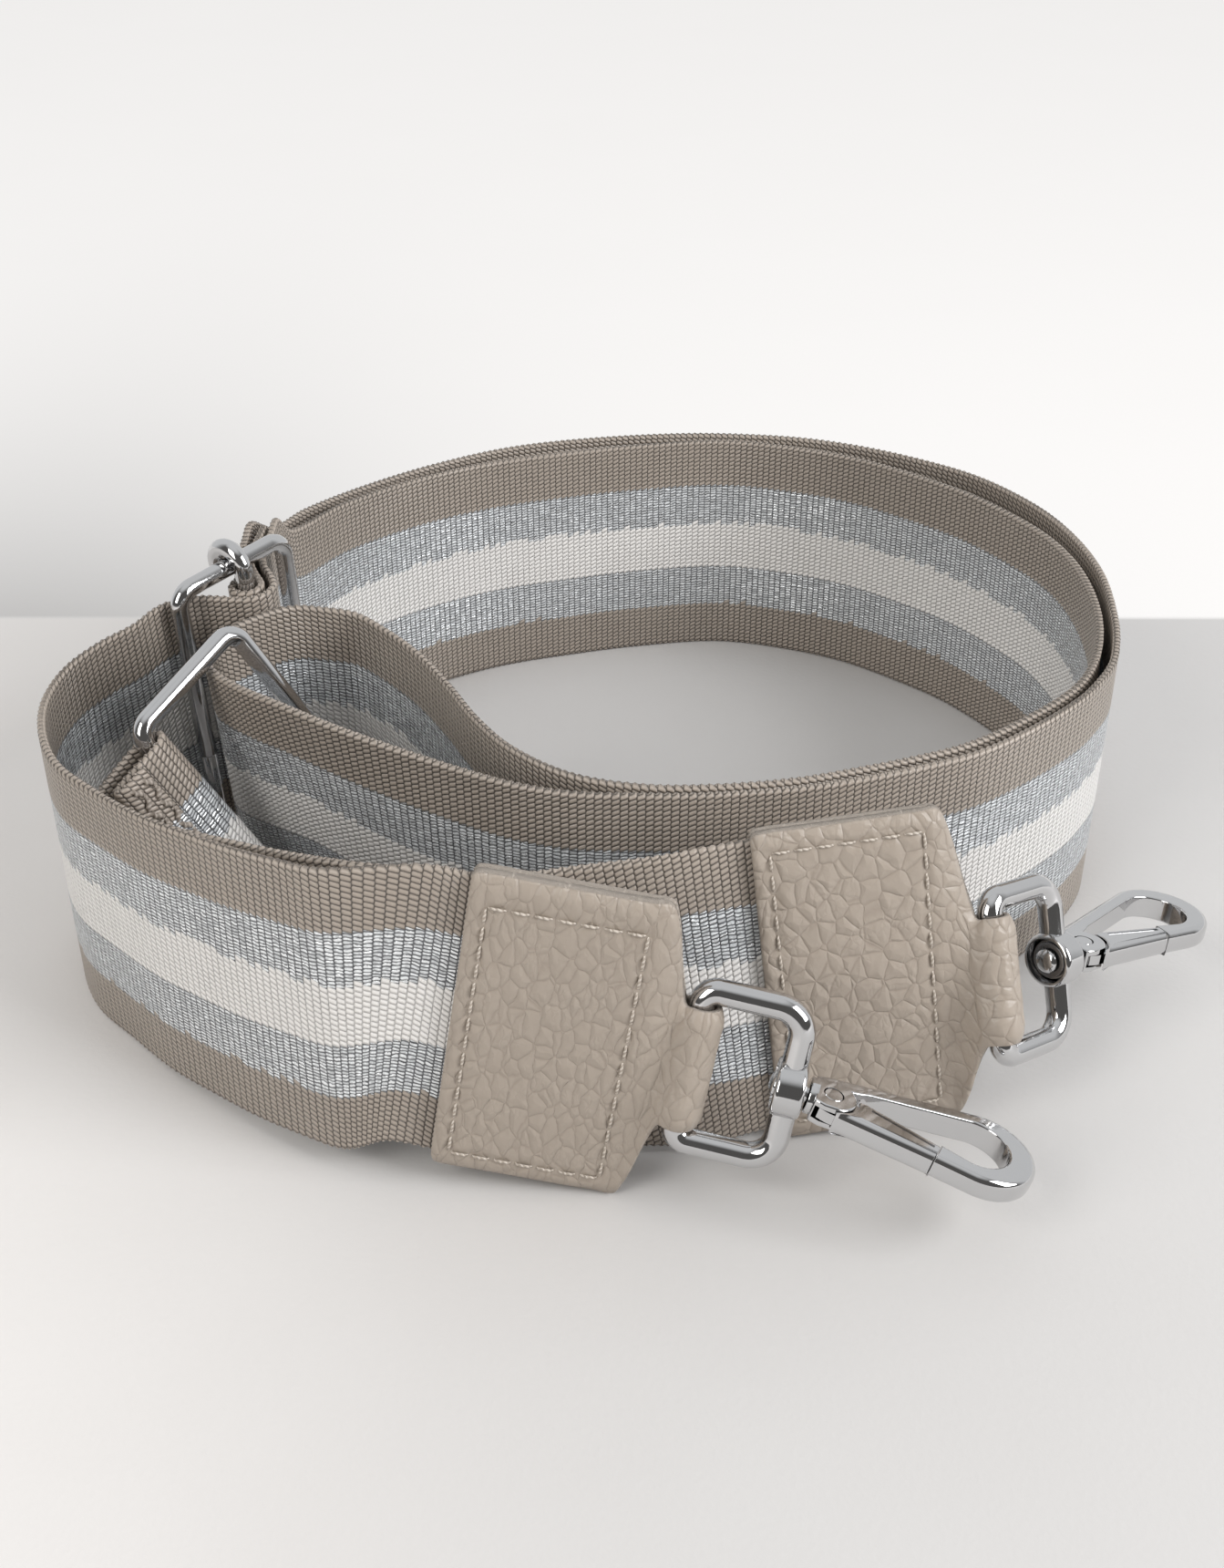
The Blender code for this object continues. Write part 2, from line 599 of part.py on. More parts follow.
def rivet_solid(name, m, extra, mat, col):
    half = hook_thick / 2 + (extra * 2 if extra else -layer_gap * 0.1)
    step = hook_thick / 2 - rivet_head_thick - extra
    turn = m @ Matrix.Translation((pivot_at, -pivot_side, 0.0)) @ Matrix.Rotation(
        math.radians(-90), 4, "Y")
    r, rh = rivet_r + extra, rivet_head_r + extra
    return revolve(name, [(-half, 0.0), (-half, rh), (-step, rh), (-step, r), (step, r),
                          (step, rh), (half, rh), (half, 0.0)], turn, mat, col, 18)


def make_gate(name, m, mat, col, cut_col):
    half = hook_thick / 2
    c, s = math.cos(hook_taper), math.sin(hook_taper)
    end = seam_at - seam_gap
    low = math.asin(min(0.99, (outer_half(pivot_at + gate_notch_r * 0.7) - pivot_side) / gate_notch_r))
    notch = arc(pivot_at, -pivot_side, gate_notch_r, math.radians(8), -low, 6)
    inner = -outer_half(end) + gate_wall
    outline = [(end, -outer_half(end)), (end, inner)]
    first = notch[0]
    outline += [(first[0] + gate_wall * 0.35, first[1])]
    outline += notch
    ob = plate(name, outline, -half, half, m, mat, col)
    # the gate's origin lies on its rivet
    ob.data.transform(Matrix.Translation((-pivot_at, pivot_side, 0.0)))
    ob.matrix_world = m @ Matrix.Translation((pivot_at, -pivot_side, 0.0))
    rounded(ob, edge_round)
    eye = arc(pivot_at, -pivot_side, tongue_r, math.radians(60), math.radians(300), 12)
    far = pivot_at + gate_notch_r * 1.30
    side = -pivot_side - tongue_half * 0.55
    tongue = plate(name + "_tongue", eye + [(far, side - tongue_half), (far, side + tongue_half)],
                   -tongue_thick / 2, tongue_thick / 2, m, mat, col)
    combine(ob, cutter(tongue, cut_col), "UNION")
    turn = m @ Matrix.Translation((pivot_at, -pivot_side, 0.0)) @ Matrix.Rotation(
        math.radians(-90), 4, "Y")
    bore = revolve(name + "_bore", [(-half, 0.0), (-half, rivet_r + rivet_gap),
                                    (half, rivet_r + rivet_gap), (half, 0.0)], turn, mat, col, 18)
    combine(ob, cutter(bore, cut_col), "DIFFERENCE")
    return ob


def make_spring(name, m, mat, col):
    y = tongue_r + layer_gap - pivot_side + spring_r * 1.2
    pts = [Vector((slot_from + tongue_r * 0.9, y, 0.0)), Vector((pivot_at + tongue_r, y, 0.0)),
           Vector((opening_from * 0.97, y, 0.0))]
    return wire(name, pts, spring_r, False, m, mat, col, 8)


def make_rect_wire(name, m, long_side, short_side, corner, radius, mat, col):
    """Wire rectangle whose corner lies at the frame's origin: X long side, Y short side."""
    pts = [p + Vector((long_side / 2, short_side / 2, 0.0))
           for p in round_rect(long_side, short_side, corner, corner)]
    return wire(name, pts, radius, True, m, mat, col)


def main():
    clear_scene()
    col = collection("bag_strap")
    cut_col = collection("cutters")
    cut_col.hide_render = True
    stripe = material("striped_webbing", (0.62, 0.57, 0.53), 0.0, 0.75)
    leather = material("taupe_leather", (0.42, 0.36, 0.32), 0.0, 0.55)
    chrome = material("bright_chrome", (0.78, 0.78, 0.77), 1.0, 0.12)
    steel = material("spring_steel", (0.55, 0.55, 0.56), 1.0, 0.30)

    # slider: X down its long side, Y along its short side, Z towards the strap's outside
    sl_x = unit(slider_down)
    sl_y = Vector(slider_side)
    sl_y = (sl_y - sl_x * sl_y.dot(sl_x)).normalized()
    sl_z = sl_x.cross(sl_y)
    sl_o = place(slider_corner_shares)
    sl_m = Matrix((sl_x, sl_y, sl_z)).transposed().to_4x4()
    sl_m.translation = sl_o
    out = sl_z if sl_z.x < 0 else -sl_z
    make_rect_wire("slider_frame", sl_m, slider_long, slider_short, slider_corner_r,
                   slider_wire_r, chrome, col)

    depth = 2 * slider_wire_r + slider_curl_gap
    facing = 1.0 if out.dot(sl_z) > 0 else -1.0
    mid_y = slider_short / 2
    top_pts, low_pts = [], []
    for k in range(9):
        a = math.radians(-20 + 200 * k / 8)
        x = -depth * math.sin(a)
        z = facing * depth * math.cos(a)
        top_pts.append(Vector((x, mid_y, z)))
        low_pts.append(Vector((slider_long - x, mid_y, z)))
    wire("slider_bar", top_pts + low_pts[::-1], slider_wire_r, False, sl_m, chrome, col)

    def slider_row(a, c):
        high = (slider_long - web_width) / 2
        p = sl_o + sl_y * (a * plan_grid) + out * (c * plan_grid)
        return (p + sl_x * high, p + sl_x * (high + web_width))

    # square ring: X down its long side, Y from the short webbing's bar to the long webbing's
    rg_x = unit(ring_down)
    rg_y = Vector(ring_side)
    rg_y = (rg_y - rg_x * rg_y.dot(rg_x)).normalized()
    rg_z = rg_x.cross(rg_y)
    rg_o = place(ring_corner_shares)
    rg_m = Matrix((rg_x, rg_y, rg_z)).transposed().to_4x4()
    rg_m.translation = rg_o
    make_rect_wire("square_ring", rg_m, ring_long, ring_short, ring_corner_r, ring_wire_r,
                   chrome, col)

    # long webbing
    ta_o = place(tab_a_centre_shares)
    ta_t = unit(tab_a_along)
    ta_w = Vector(tab_a_across)
    ta_w = (ta_w - ta_t * ta_w.dot(ta_t)).normalized()
    inside = -tab_length / 2 + web_in_tab
    rows = []
    for x in (inside, inside - web_in_tab * 0.5, -tab_length / 2, -tab_length / 2 - web_in_tab * 0.28):
        p = ta_o + ta_t * x
        rows.append((p + ta_w * web_width / 2, p - ta_w * web_width / 2))
    rows += [upright_row(r) for r in leg_a_shares]
    rows += [slider_row(*r) for r in slider_run_shares]
    rows += [upright_row(r) for r in inner_back_shares + turn_shares + outer_shares]
    rows += [slider_row(*r) for r in slider_end_shares]
    wrap = slider_wire_r + fold_gap + web_thick / 2
    bar_at = Vector((slider_short / 2, -depth))
    for deg in (120, 165, 210, 255, 300, 335):
        a = math.radians(deg)
        rows.append(slider_row((bar_at.x + wrap * math.cos(a)) / plan_grid,
                               (bar_at.y + wrap * math.sin(a)) / plan_grid))
    rows += [slider_row(*r) for r in slider_tail_shares]
    ribbon("long_webbing", smooth_rows(rows), web_thick, stripe, col, across=3)

    # short webbing: hem, fold round the ring's bar, then to tab B
    def ring_row(a, c):
        high = (ring_long - web_width) / 2
        p = rg_o + rg_y * a + rg_z * c
        return (p + rg_x * high, p + rg_x * (high + web_width))

    wrap = ring_wire_r + fold_gap + web_thick / 2
    near = 1.0 if rg_z.dot(Vector((0.0, -1.0, 0.0))) > 0 else -1.0
    rows = [ring_row(-short_wrap_tail_share * plan_grid, near * wrap),
            ring_row(-short_wrap_tail_share * plan_grid * 0.5, near * wrap)]
    for deg in (90, 45, 0, -45, -90):
        a = math.radians(deg)
        rows.append(ring_row(wrap * math.cos(a), near * wrap * math.sin(a)))
    rows += [ring_row(-short_wrap_lead_share * plan_grid * 0.6, -near * wrap)]
    for r in short_shares:
        top, low = place(r[:3]), place(r[3:])
        rows.append((top, low))
    tb_o = place(tab_b_centre_shares)
    tb_t = unit(tab_b_along)
    tb_w = Vector(tab_b_across)
    tb_w = (tb_w - tb_t * tb_w.dot(tb_t)).normalized()
    for x in (-tab_length / 2, inside - web_in_tab * 0.5, inside):
        p = tb_o + tb_t * x
        rows.append((p + tb_w * web_width / 2, p - tb_w * web_width / 2))
    ribbon("short_webbing", smooth_rows(rows), web_thick, stripe, col, across=3)

    for side, centre, across, along, eye, eye_w, eye_l, nrm, hook_l in (
            ("a", tab_a_centre_shares, tab_a_across, tab_a_along, eye_a_shares, eye_a_across,
             eye_a_along, hook_a_normal, hook_a_along),
            ("b", tab_b_centre_shares, tab_b_across, tab_b_along, eye_b_shares, eye_b_across,
             eye_b_along, hook_b_normal, hook_b_along)):
        c, e = place(centre), place(eye)
        make_tab("tab_%s_leather" % side, c, across, along, e, eye_w, leather, col)
        make_eye("hook_%s_eye" % side, e, eye_w, eye_l, chrome, col, cut_col)
        lx = unit(eye_l)
        boss = e + lx * loop_reach
        boss_m = frame_matrix(boss, eye_l, eye_w)
        hook_m = frame_matrix(boss, hook_l, nrm)
        make_washer("hook_%s_washer" % side, boss_m, steel, col)
        make_stud("hook_%s_stud" % side, hook_m, chrome, col)
        make_hook("hook_%s_body" % side, hook_m, chrome, col, cut_col)
        make_gate("hook_%s_gate" % side, hook_m, chrome, col, cut_col)
        rivet_solid("hook_%s_rivet" % side, hook_m, 0.0, chrome, col)
        make_spring("hook_%s_spring" % side, hook_m, steel, col)


main()
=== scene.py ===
import math
import bpy
import bmesh
from mathutils import Matrix, Vector, noise


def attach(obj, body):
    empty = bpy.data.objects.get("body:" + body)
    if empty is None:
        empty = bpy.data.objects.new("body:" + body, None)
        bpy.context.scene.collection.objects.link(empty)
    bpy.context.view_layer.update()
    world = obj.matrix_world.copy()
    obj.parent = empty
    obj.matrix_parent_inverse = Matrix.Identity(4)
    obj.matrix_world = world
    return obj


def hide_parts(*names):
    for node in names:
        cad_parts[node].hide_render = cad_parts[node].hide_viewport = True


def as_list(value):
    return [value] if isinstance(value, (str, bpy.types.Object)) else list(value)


# Looks of the detachable bag strap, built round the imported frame. Metres, +Z up.

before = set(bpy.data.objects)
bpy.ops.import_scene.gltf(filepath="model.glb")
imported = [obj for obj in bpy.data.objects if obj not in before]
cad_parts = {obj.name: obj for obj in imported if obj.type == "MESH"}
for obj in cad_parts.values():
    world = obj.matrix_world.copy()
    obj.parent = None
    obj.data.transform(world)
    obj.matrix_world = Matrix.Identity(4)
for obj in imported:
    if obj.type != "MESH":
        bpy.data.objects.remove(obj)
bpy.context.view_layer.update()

# sizes that repeat the part's own

plan_grid = 0.010
route_shift_x = 0.0022
route_shift_y = -0.0004
web_width = 0.050
web_thick = 0.0014
tab_length = 0.0285
tab_side_margin = 0.0012
tab_width = web_width + 2 * tab_side_margin
leather_thick = 0.0015
layer_gap = 0.0003
web_in_tab = 0.0235
web_end = -tab_length / 2 + web_in_tab    # from the tab's middle
loop_wire_r = 0.0020
loop_width = 0.0246
neck_side_gap = 0.0004
neck_width = loop_width - 2 * (loop_wire_r + neck_side_gap)
fold_gap = 0.0003
ring_wire_r = 0.0017
ring_long = 0.0550
ring_short = 0.0245
ring_corner_r = 0.0030
slider_wire_r = 0.00165
slider_long = 0.0550
slider_short = 0.0250
slider_corner_r = 0.0032
slider_curl_gap = 0.00022
slider_curl = 2 * slider_wire_r + slider_curl_gap
loop_reach = 0.0151
loop_corner_r = 0.00225
loop_shoulder_r = 0.0042
boss_r = 0.0044
boss_in = 0.0023
boss_out = 0.0022
shank_r = 0.0013
shank_play = 0.00045
swivel_bore_r = shank_r + shank_play
head_proud = 0.00075
shank_in = boss_in + head_proud
head_r = 0.0020
washer_r = 0.0029
washer_thick = 0.00045
washer_gap = 0.00012
washer_side_gap = 0.0005
recess_r = washer_r + washer_side_gap
recess_depth = 0.0012
collar_r = 0.00275
collar_gap = 0.0005
collar_length = 0.0013
collar_from = boss_out + collar_gap
collar_to = collar_from + collar_length
shank_grip = 0.0008
shank_out = collar_from + shank_grip
hook_reach = 0.0376
hook_thick = 0.0040
hook_base_step = 0.0009
hook_base_length = 0.0016
hook_base_from = collar_from + hook_base_step
hook_neck_at = hook_base_from + hook_base_length
hook_neck_half = 0.0040
nose_r = 0.00805
nose_wall = 0.0042
spine_wall = 0.0028
gate_wall = 0.0028
seam_at = 0.0222
seam_gap = 0.00030
seam_line = 0.00012          # gap seen at the end of the gate
tongue_r = 0.0020
tongue_thick = 0.0017
tongue_half = 0.0014
tongue_side_gap = 0.0002
tongue_play = 0.0004
slot_thick = tongue_thick + 2 * tongue_side_gap
slot_wall = 0.0004
slot_from = shank_out + slot_wall
pivot_at = slot_from + tongue_r + tongue_play
pivot_side = 0.0007
cheek_r = 0.0036
cheek_gap = 0.0004
gate_notch_r = cheek_r + cheek_gap
opening_wall = 0.0005
opening_from = pivot_at + cheek_r + opening_wall
rivet_r = 0.0009
rivet_head_r = 0.00145
rivet_gap = 0.00012
spring_r = 0.00022
hook_taper = math.radians(9.5)

# sizes of the looks

spline_steps = 16            # between two rows of a route
web_section = 0.0004         # length of webbing between two sections of the fine mesh
web_panel = 0.0045           # across the webbing
web_face = 0.93              # a face lies a little deeper than the selvedges
wave_high = 0.10             # unevenness of the faces, in half thicknesses
wave_along = 55.0            # how fast it changes, per metre
wave_across = 3.0            # and over the width
floor_air = 0.00004          # lowest point of the webbing above the floor
selvedge = 0.0011            # rope-like edge of the webbing
selvedge_pitch = 0.0013
selvedge_turns = (54, 18, -18, -54)    # degrees round the rope
leather_cell = 0.00033       # mesh of the leather
pebble_sizes = {"a": (0.0039, 0.0020), "b": (0.0034, 0.0028)}    # across and along each tab
pebble_bump = {"a": 0.00021, "b": 0.00024}
pebble_depth = 0.00013
rim_wide = 0.0026            # the leather thins towards its cut edges
rim_front = 0.00085
rim_back = 0.00140
fold_turn = 118              # degrees of the leather's fold to either side
stitch_pitch = 0.0032
stitch_length = 0.0027
stitch_r = 0.00021
stitch_inset_top = {"a": 0.0050, "b": 0.0030}
stitch_inset_low = 0.0030
stitch_inset_far = 0.0027
stitch_groove = 0.00022
thread_sides = 8
thread_rings = 7
ply_pitch = 0.0007           # turn of the thread's plies
hem_length = 0.0048          # rolled end of the short webbing
hem_rise = ((1.0, 2.05), (0.5, 2.3), (0.0, 2.1))    # along the hem, height in half folds
hem_turns = (45, 90, 135)    # degrees round the hem's end
ring_turns = (90, 45, 0, -45, -90)    # and round the ring's wire
bar_turns = (120, 165, 210, 255, 300, 335)    # and round the slider's bar
hem_thread_r = 0.00042
hem_zigzag = 0.0025
hem_side = 1.0               # face of the webbing that shows the seams
short_seams = (0.0012, 0.0036)        # lines of the seams along the webbing
long_seams = (-0.0030, -0.0062)       # the long one's are measured from its other end
edge_soft = 0.00120          # rounding of the hook's outer edges
edge_crisp = 0.00035         # and of its inner ones
edge_seam = 0.00008          # and beside the seam
base_share = 0.86            # width of the hook's base against its neck
recess_flare = (1.10, 1.06, 0.92)     # radius outside, at the rim and at the bottom
rail_deep = 0.00030          # channel along the gate
rail_wide = 0.00055
wire_sides = 32
joint_share = 0.84           # radius of a wire's butt joint
screw_steps = 56
weld_share = 0.005           # of a wire's radius, within which points are joined
boss_round_share = 0.30
curl_from = -20              # degrees that the slider's bar is bent over its frame
curl_round = 200
curl_steps = 24
sharp_bend = 32              # degrees at which the hardware's edges stay sharp
sharp_cut = 50

# weave and colours

row_pitch = 0.00095          # across the webbing, from one float to the next
float_pitch = 0.00132        # along it
float_slant = 0.60           # rows that a float crosses
float_end_power = 7.0        # how square the floats end, and how flat they are across
float_side_power = 2.2
float_crown_power = 0.75
foil_pitch = 0.00062
foil_slant = 0.30
weave_bump = 0.00028
stripe_edges = (0.0055, 0.0145)       # white to silver and silver to taupe, from the middle
taupe_thread = (0.415, 0.358, 0.306)
white_thread = (0.87, 0.85, 0.825)
silver_thread = (0.95, 0.98, 1.0)
# thread under the silver foil, darkened as painted shade between the foil floats
shaded_under_thread = (0.14, 0.145, 0.155)
painted_gap_shade_white = 0.68             # painted shade: brightness between the floats
painted_gap_shade_taupe = 0.26
crest_shade = 1.14           # and on top of them
leather_low = (0.368, 0.312, 0.260)
leather_high = (0.416, 0.360, 0.304)
# painted shade in the small and the main creases
leather_thin_crease_shade = (0.330, 0.275, 0.228)
leather_crease_shade = (0.285, 0.235, 0.192)
edge_low = (0.30, 0.255, 0.215)
edge_high = (0.56, 0.50, 0.44)
sewing_thread = ((0.42, 0.36, 0.30), (0.64, 0.58, 0.51))
seam_thread = ((0.24, 0.205, 0.175), (0.46, 0.405, 0.355))
# each metal's colour, its roughness and how much the roughness varies
bright_chrome = ((0.63, 0.63, 0.635), 0.06, 0.06)
spring_steel = ((0.34, 0.34, 0.35), 0.24, 0.08)
dull_joint = ((0.33, 0.33, 0.33), 0.40, 0.10)
black = (0.0, 0.0, 0.0)

# how fine the unevenness of each material is, per metre

foil_waver = 500.0
foil_crinkle = 1800.0
yarn_tone = 90.0
leather_grain = 1800.0
leather_blotch = 170.0
edge_fuzz = 1500.0
metal_cloud = 160.0
metal_scratch = 2400.0
cloth_tone = 14.0
cloth_weave = 900.0

# surroundings

wall_line = 0.107            # where the table ends and the wall begins, as seen
wall_soft = 0.0015           # half width of the line between them
wall_tone = (0.985, 0.968, 0.955)
wall_glow_share = 0.72       # of the wall's own light in what the camera sees
wall_colours = ((0.90, 0.885, 0.87), (0.95, 0.94, 0.93))
# the cloth as lit, and with painted shade
cloth_lit = ((0.74, 0.715, 0.695), (0.80, 0.78, 0.765))
cloth_painted_shade = ((0.60, 0.585, 0.575), (0.65, 0.64, 0.63))
cloth_shade_span = (-0.11, 0.02)   # from left to right, where the painted shade on the cloth begins and ends
painted_shadow_x = 0.15                 # painted shadow on the wall: how far left, how wide, how deep
painted_shadow_wide = 0.11
painted_shadow_deep = 0.11
painted_shadow_most = 0.56
floor_half = 3.0
camera_height = 0.2015
camera_back = 0.2876
camera_tilt = 57.74          # degrees
focal_share = 2000 / 1720    # focal length against the picture's height
film_height = 36.0           # millimetres
lamp_aim = (0.0, 0.0, 0.03)
world_dark = (0.15, 0.145, 0.14)
world_bright = (0.98, 0.99, 1.0)

# tables that repeat the part's own, in squares of the plan

tab_a_centre_shares = (-0.94, -8.20, 2.83)
tab_a_across = (0.160, 0.058, 0.985)
tab_a_along = (0.984, -0.090, -0.155)
tab_b_centre_shares = (3.74, -6.69, 2.75)
tab_b_across = (-0.121, 0.171, 0.978)
tab_b_along = (0.989, 0.100, 0.105)
eye_a_shares = (1.12, -8.38, 2.41)
eye_a_across = (0.192, 0.232, 0.953)
eye_a_along = (0.973, -0.172, -0.154)
hook_a_normal = (0.294, 0.080, 0.952)
hook_a_along = (0.941, -0.199, -0.274)
eye_b_shares = (5.89, -6.74, 2.69)
eye_b_across = (-0.113, 0.444, 0.889)
eye_b_along = (0.752, 0.623, -0.216)
hook_b_normal = (0.130, 0.181, 0.975)
hook_b_along = (0.745, 0.634, -0.208)
ring_corner_shares = (-7.69, -3.44, 5.12)
ring_down = (0.480, 0.100, -0.870)
ring_side = (0.529, 0.749, 0.397)
slider_corner_shares = (-7.62, -0.04, 5.91)
slider_down = (0.028, 0.083, -0.996)
slider_side = (0.620, 0.785, 0.000)
slider_seam_share = 0.62

# each row: x, y of the top edge, x, y lean of the bottom edge, height of the bottom edge,
# and only x, y where the webbing stands straight on the floor
straight_on_floor = (0.00, 0.00, 0.01)
leg_a_shares = [
    (-4.15, -7.60, 0.00, -0.40, 0.38), (-4.85, -7.27, 0.00, -0.34, 0.31),
    (-5.59, -6.86, 0.00, -0.27, 0.24), (-6.40, -6.32, 0.00, -0.18, 0.16),
    (-7.17, -5.78, 0.00, -0.10, 0.10), (-8.03, -5.00, 0.00, 0.00, 0.04), (-8.83, -4.15),
    (-9.32, -3.15), (-9.53, -2.10, 0.00, 0.00, 0.04), (-9.37, -1.22, 0.00, 0.06, 0.15),
    (-8.92, -0.68, 0.02, 0.20, 0.32), (-8.38, -0.28, 0.06, 0.34, 0.48)]

inner_back_shares = [
    (-6.29, 3.96, 0.02, 0.14, 0.36), (-5.47, 5.76, 0.00, 0.04, 0.14),
    (-4.05, 7.30, 0.00, 0.00, 0.04), (-2.60, 8.22), (-1.10, 8.76), (0.60, 9.22), (2.55, 9.47),
    (4.15, 9.05), (5.35, 8.45), (6.40, 7.60), (7.35, 6.65), (8.05, 5.62), (8.62, 4.50),
    (8.92, 3.30), (8.98, 2.10), (8.86, 0.80), (8.50, -0.55), (7.94, -1.62), (6.84, -2.74),
    (5.76, -3.56), (4.80, -4.00), (3.86, -4.34), (2.92, -4.63), (1.70, -4.82), (0.55, -4.83),
    (-0.62, -4.50), (-1.62, -3.72, 0.00, 0.00, 0.04), (-2.24, -2.85, 0.00, 0.00, 0.08),
    (-2.80, -1.78, 0.00, 0.00, 0.14), (-3.37, -0.86, 0.00, 0.00, 0.22),
    (-4.05, -0.08, 0.00, 0.00, 0.30), (-4.62, 0.36, 0.00, 0.00, 0.38),
    (-5.16, 0.42, 0.00, 0.00, 0.44), (-5.60, 0.40, 0.00, 0.00, 0.49),
    (-5.96, 0.22, 0.04, -0.04, 0.52), (-6.32, -0.14, 0.06, -0.06, 0.54)]

turn_shares = [
    (-6.62, -0.50, 0.10, -0.04, 0.55), (-6.86, -0.90, 0.16, 0.00, 0.56),
    (-6.88, -1.44, 0.30, 0.12, 0.57), (-6.74, -1.96, 0.46, 0.32, 0.59)]

outer_shares = [
    (-6.44, -2.40, 0.58, 0.50, 0.64), (-6.02, -2.84, 0.66, 0.62, 0.70),
    (-5.44, -3.28, 0.64, 0.70, 0.72), (-4.50, -3.78, 0.42, 0.66, 0.56),
    (-3.49, -4.16, 0.20, 0.44, 0.34), (-2.53, -4.48, 0.08, 0.22, 0.16),
    (-1.58, -4.82, 0.00, 0.06, 0.06), (-0.66, -5.02), (0.30, -5.08), (1.20, -5.08), (2.08, -5.00),
    (3.00, -4.86), (3.93, -4.60), (4.90, -4.25), (5.89, -3.80), (6.98, -2.97), (7.90, -2.07),
    (8.26, -1.60), (8.72, -0.82), (8.98, -0.02), (9.18, 0.98), (9.34, 2.84), (9.16, 4.47),
    (8.71, 5.90), (7.77, 7.43), (6.67, 8.39), (5.49, 9.12), (4.25, 9.61), (2.96, 9.83),
    (1.66, 9.88), (-0.44, 9.61), (-2.24, 9.07), (-3.81, 8.06, 0.00, 0.00, 0.03),
    (-5.17, 6.72, 0.00, 0.00, 0.10), (-6.18, 5.26, 0.00, 0.04, 0.22),
    (-6.62, 4.06, 0.02, 0.14, 0.36)]

# through the slider: along its short side and out from its face
slider_run_shares = [
    (-0.30, 0.33), (0.02, 0.30), (0.42, 0.06), (0.80, -0.52), (0.97, -0.75),
    (1.25, -0.84), (1.53, -0.75), (1.71, -0.52), (1.94, -0.06), (2.24, 0.30),
    (2.54, 0.50), (2.86, 0.72), (3.24, 1.00)]
slider_end_shares = [
    (2.86, 1.28), (2.42, 0.95), (2.00, 0.60), (1.56, 0.18), (1.30, -0.06)]
slider_tail_shares = [
    (1.62, -0.20), (1.80, 0.12), (2.12, 0.46), (2.54, 0.74), (2.96, 1.02)]

# short webbing from the ring to tab B: top edge x, y, z and bottom edge x, y, z
short_shares = [
    (-8.28, -4.42, 4.36, -5.86, -3.98, 0.08), (-7.86, -4.86, 4.32, -5.50, -4.55, 0.06),
    (-7.00, -5.22, 4.44, -4.95, -5.18, 0.06), (-6.00, -5.78, 4.60, -4.22, -5.80, 0.05),
    (-5.00, -6.28, 4.74, -3.40, -6.36, 0.05), (-4.00, -6.64, 4.84, -2.52, -6.88, 0.05),
    (-2.80, -6.93, 4.93, -1.42, -7.32, 0.05), (-1.47, -7.12, 4.99, -0.30, -7.58, 0.05),
    (-0.40, -6.93, 5.02, 0.60, -7.66, 0.05), (0.66, -6.72, 5.03, 1.48, -7.62, 0.06)]
short_wrap_tail_share = 0.95
short_wrap_lead_share = 0.62


def place(shares):
    p = Vector(shares) * plan_grid
    return p - Vector((route_shift_x, route_shift_y, 0.0))


def unit(v):
    return Vector(v).normalized()


def square_to(v, axis):
    v = Vector(v)
    return (v - axis * v.dot(axis)).normalized()


def upright_row(row):
    """Top and bottom point of a row of the plan. A row of two numbers stands straight."""
    full = row if len(row) > 2 else row + straight_on_floor
    x, y, lean_x, lean_y, low = (v * plan_grid for v in full)
    lean = Vector((lean_x, lean_y, 0.0))
    rise = math.sqrt(max(web_width ** 2 - lean.length_squared, (web_width / 2) ** 2))
    base = Vector((x, y, 0.0)) - Vector((route_shift_x, route_shift_y, 0.0))
    return (base + Vector((0.0, 0.0, low + rise)), base + lean + Vector((0.0, 0.0, low)))


def middle(row):
    return (row[0] + row[1]) / 2


def between(a, b, ta, tb, t):
    return a * ((tb - t) / (tb - ta)) + b * ((t - ta) / (tb - ta))


def spline_rows(rows):
    """Centripetal Catmull-Rom through rows of two points."""
    def knot(a, b):
        return max((middle(b) - middle(a)).length, web_thick * 0.05) ** 0.5

    first = tuple(2 * a - b for a, b in zip(rows[0], rows[1]))
    last = tuple(2 * a - b for a, b in zip(rows[-1], rows[-2]))
    pts = [first] + list(rows) + [last]
    dense = [rows[0]]
    for i in range(1, len(pts) - 2):
        p0, p1, p2, p3 = pts[i - 1:i + 3]
        t0 = 0.0
        t1 = t0 + knot(p0, p1)
        t2 = t1 + knot(p1, p2)
        t3 = t2 + knot(p2, p3)
        for k in range(1, spline_steps + 1):
            t = t1 + (t2 - t1) * k / spline_steps
            new = []
            for a, b, c, d in zip(p0, p1, p2, p3):
                bc = between(b, c, t1, t2, t)
                abc = between(between(a, b, t0, t1, t), bc, t0, t2, t)
                bcd = between(bc, between(c, d, t2, t3, t), t1, t3, t)
                new.append(between(abc, bcd, t1, t2, t))
            dense.append(tuple(new))
    return dense


def even_rows(rows, step):
    """Rows along the spline, one for each step of its length, and the whole length."""
    dense = spline_rows(rows)
    runs = [0.0]
    for a, b in zip(dense, dense[1:]):
        runs.append(runs[-1] + (middle(b) - middle(a)).length)
    count = max(2, round(runs[-1] / step))
    out = []
    j = 0
    for i in range(count + 1):
        want = runs[-1] * i / count
        while j < len(runs) - 2 and runs[j + 1] < want:
            j += 1
        f = (want - runs[j]) / max(runs[j + 1] - runs[j], step * 0.001)
        out.append(tuple(a.lerp(b, min(f, 1.0)) for a, b in zip(dense[j], dense[j + 1])))
    return out, runs[-1]


def section_frames(rows):
    """For each row its middle, the direction across and the direction out of the face."""
    frames = []
    for i, row in enumerate(rows):
        before = middle(rows[max(i - 1, 0)])
        after = middle(rows[min(i + 1, len(rows) - 1)])
        run = (after - before).normalized()
        across = (row[1] - row[0]).normalized()
        out = run.cross(across).normalized()
        frames.append((middle(row), across, out, (row[1] - row[0]).length))
    return frames


